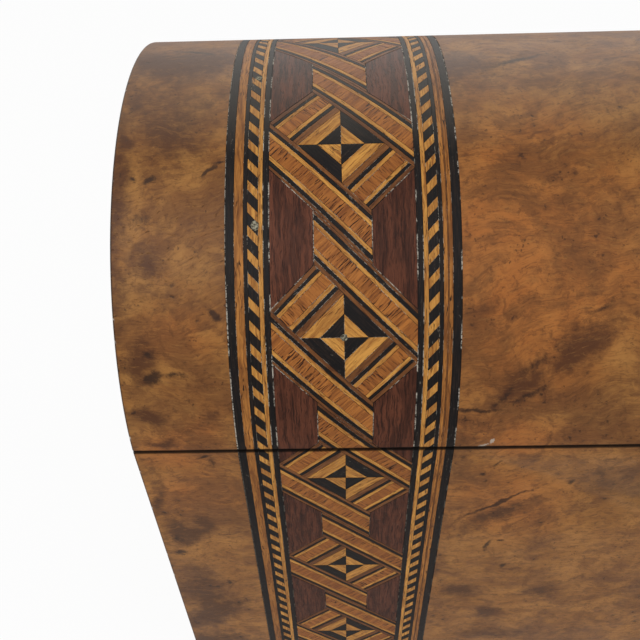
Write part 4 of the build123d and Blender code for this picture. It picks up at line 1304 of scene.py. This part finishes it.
PULL_WIDTH, PULL_FOOT, PULL_RISE = 14.0, -9.0, 5.0
PULL_HALF_THICKNESS, PULL_BOW = 0.22, 0.25
line = [(0.25, PULL_FOOT), (0.3, -3), (0.5, 1.0), (0.9, 3.6), (1.4, PULL_RISE - 0.3),
        (2.2, PULL_RISE), (2.9, PULL_RISE - 0.6), (2.9, 3.2), (2.3, 0.4), (1.6, -3.0),
        (0.95, PULL_FOOT + 0.6)]
for side, name in ((-1, "left"), (1, "right")):
    form = Form()
    rings, grain = [], []
    run = 0.0
    for i, (off, rise) in enumerate(line):
        before, after = line[max(i - 1, 0)], line[min(i + 1, len(line) - 1)]
        along = Vector((after[0] - before[0], after[1] - before[1])).normalized()
        out, up = along[1] * PULL_HALF_THICKNESS, -along[0] * PULL_HALF_THICKNESS
        if i:
            run += hypot(off - line[i - 1][0], rise - line[i - 1][1])
        ring = []
        for share, push in ((-1, 1), (0, 1), (1, 1), (1, -1), (0, -1), (-1, -1)):
            bow = PULL_BOW * (1 - share**2) * min(1, i / 4)
            y, stand = share * PULL_WIDTH / 2, TRAY_IN_X - off - push * out - bow
            ring.append((side * stand, y, TRAY_TOP + rise + push * up))
            grain.append(Vector((y, run, 0)))
        rings.append(ring)
    loft(form, rings, grain=grain)
    pull = form.make(f"tray_pull_{name}", "tray", GROSGRAIN, "ribbon", sharp=50.0)
    if side > 0:
        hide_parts("tray_pulls")

# Baize under the box

form = Form()
pad(form, (-CORE_X, CORE_X), (-CORE_Y, CORE_Y), (0.0, BAIZE), 0.0, count=(48, 28))
baize = form.make("base_felt", "case", FELT, "baize", ["base_baize"], sharp=60.0)

# Camera, at the photograph's place

PITCH, ROLL, YAW = 0.7687, 0.0359, 0.0272
CAMERA_PLACE = Vector((-75.4, -160.5, 245.6)) * MM
spin = Matrix.Rotation(YAW, 3, "Z")
right, ahead = spin @ X, spin @ (cos(PITCH) * Y - sin(PITCH) * Z)
down = spin @ (-sin(PITCH) * Y - cos(PITCH) * Z)
right, down = cos(ROLL) * right + sin(ROLL) * down, cos(ROLL) * down - sin(ROLL) * right
lens = bpy.data.cameras.new("camera")
lens.lens, lens.sensor_width = 42.24, 36.0
lens.clip_start, lens.clip_end = 0.01, 20.0
camera = bpy.data.objects.new("camera", lens)
camera.matrix_world = (Matrix.Translation(CAMERA_PLACE)
                       @ Matrix((right, -down, -ahead)).transposed().to_4x4())
bpy.context.scene.collection.objects.link(camera)
bpy.context.scene.camera = camera

# Floor, which the camera sees nearly white and which keeps the box's shadow

FLOOR_REACH = 6.0
SEEN_WHITE = 0.94
paper = bpy.data.meshes.new("floor")
corners = [(x * FLOOR_REACH, y * FLOOR_REACH, 0) for x, y in ((-1, -1), (1, -1), (1, 1), (-1, 1))]
paper.from_pydata(corners, [], [[0, 1, 2, 3]])
ground = bpy.data.objects.new("floor", paper)
bpy.context.scene.collection.objects.link(ground)
f = Finish("floor_paper")
f.join(f.shader, {"Base Color": (0.86, 0.86, 0.85, 1), "Roughness": 0.9, "Specular IOR Level": 0.1})
seen = f.node("LightPath", output="Is Camera Ray")
glow = f.node("Emission", inputs={"Color": (1, 1, 1, 1), "Strength": 1.0})
matt = Wire(f, f.shader.outputs[0])
mixed = f.node("MixShader", inputs={0: seen * SEEN_WHITE, 1: matt, 2: glow})
f.join(f.tree.nodes["Material Output"], {"Surface": mixed})
paper.materials.append(f.material)

# World: white to the eye and in reflections, and dimmer as a light

AMBIENT = 0.4
world = bpy.data.worlds.new("studio")
bpy.context.scene.world = world
world.use_nodes = True
sky = Nodes(world.node_tree)
shown = sky.node("LightPath", output="Is Camera Ray")
for ray in ("Is Glossy Ray", "Is Transmission Ray"):
    shown = shown.most(sky.node("LightPath", output=ray))
strength = AMBIENT + (1 - AMBIENT) * shown
sky.join(sky.tree.nodes["Background"], {"Color": (1, 1, 1, 1), "Strength": strength})

LAMP_AIM, LAMP_SIZE = Vector((0, 0, 0.1)), 0.9


def lamp(name, place, power):
    """A soft square lamp at a place in metres, turned to the box."""
    data = bpy.data.lights.new(name, "AREA")
    data.shape, data.size, data.energy = "SQUARE", LAMP_SIZE, power
    made = bpy.data.objects.new(name, data)
    made.location = place
    made.rotation_mode = "QUATERNION"
    made.rotation_quaternion = (LAMP_AIM - Vector(place)).to_track_quat("-Z", "Y")
    bpy.context.scene.collection.objects.link(made)


lamp("key_lamp", (-0.5, -0.7, 1.1), 7.0)
lamp("fill_lamp", (0.9, -0.5, 0.7), 2.3)
lamp("back_lamp", (0.1, 1.1, 0.9), 3.0)

bpy.context.scene.view_settings.view_transform = "Standard"
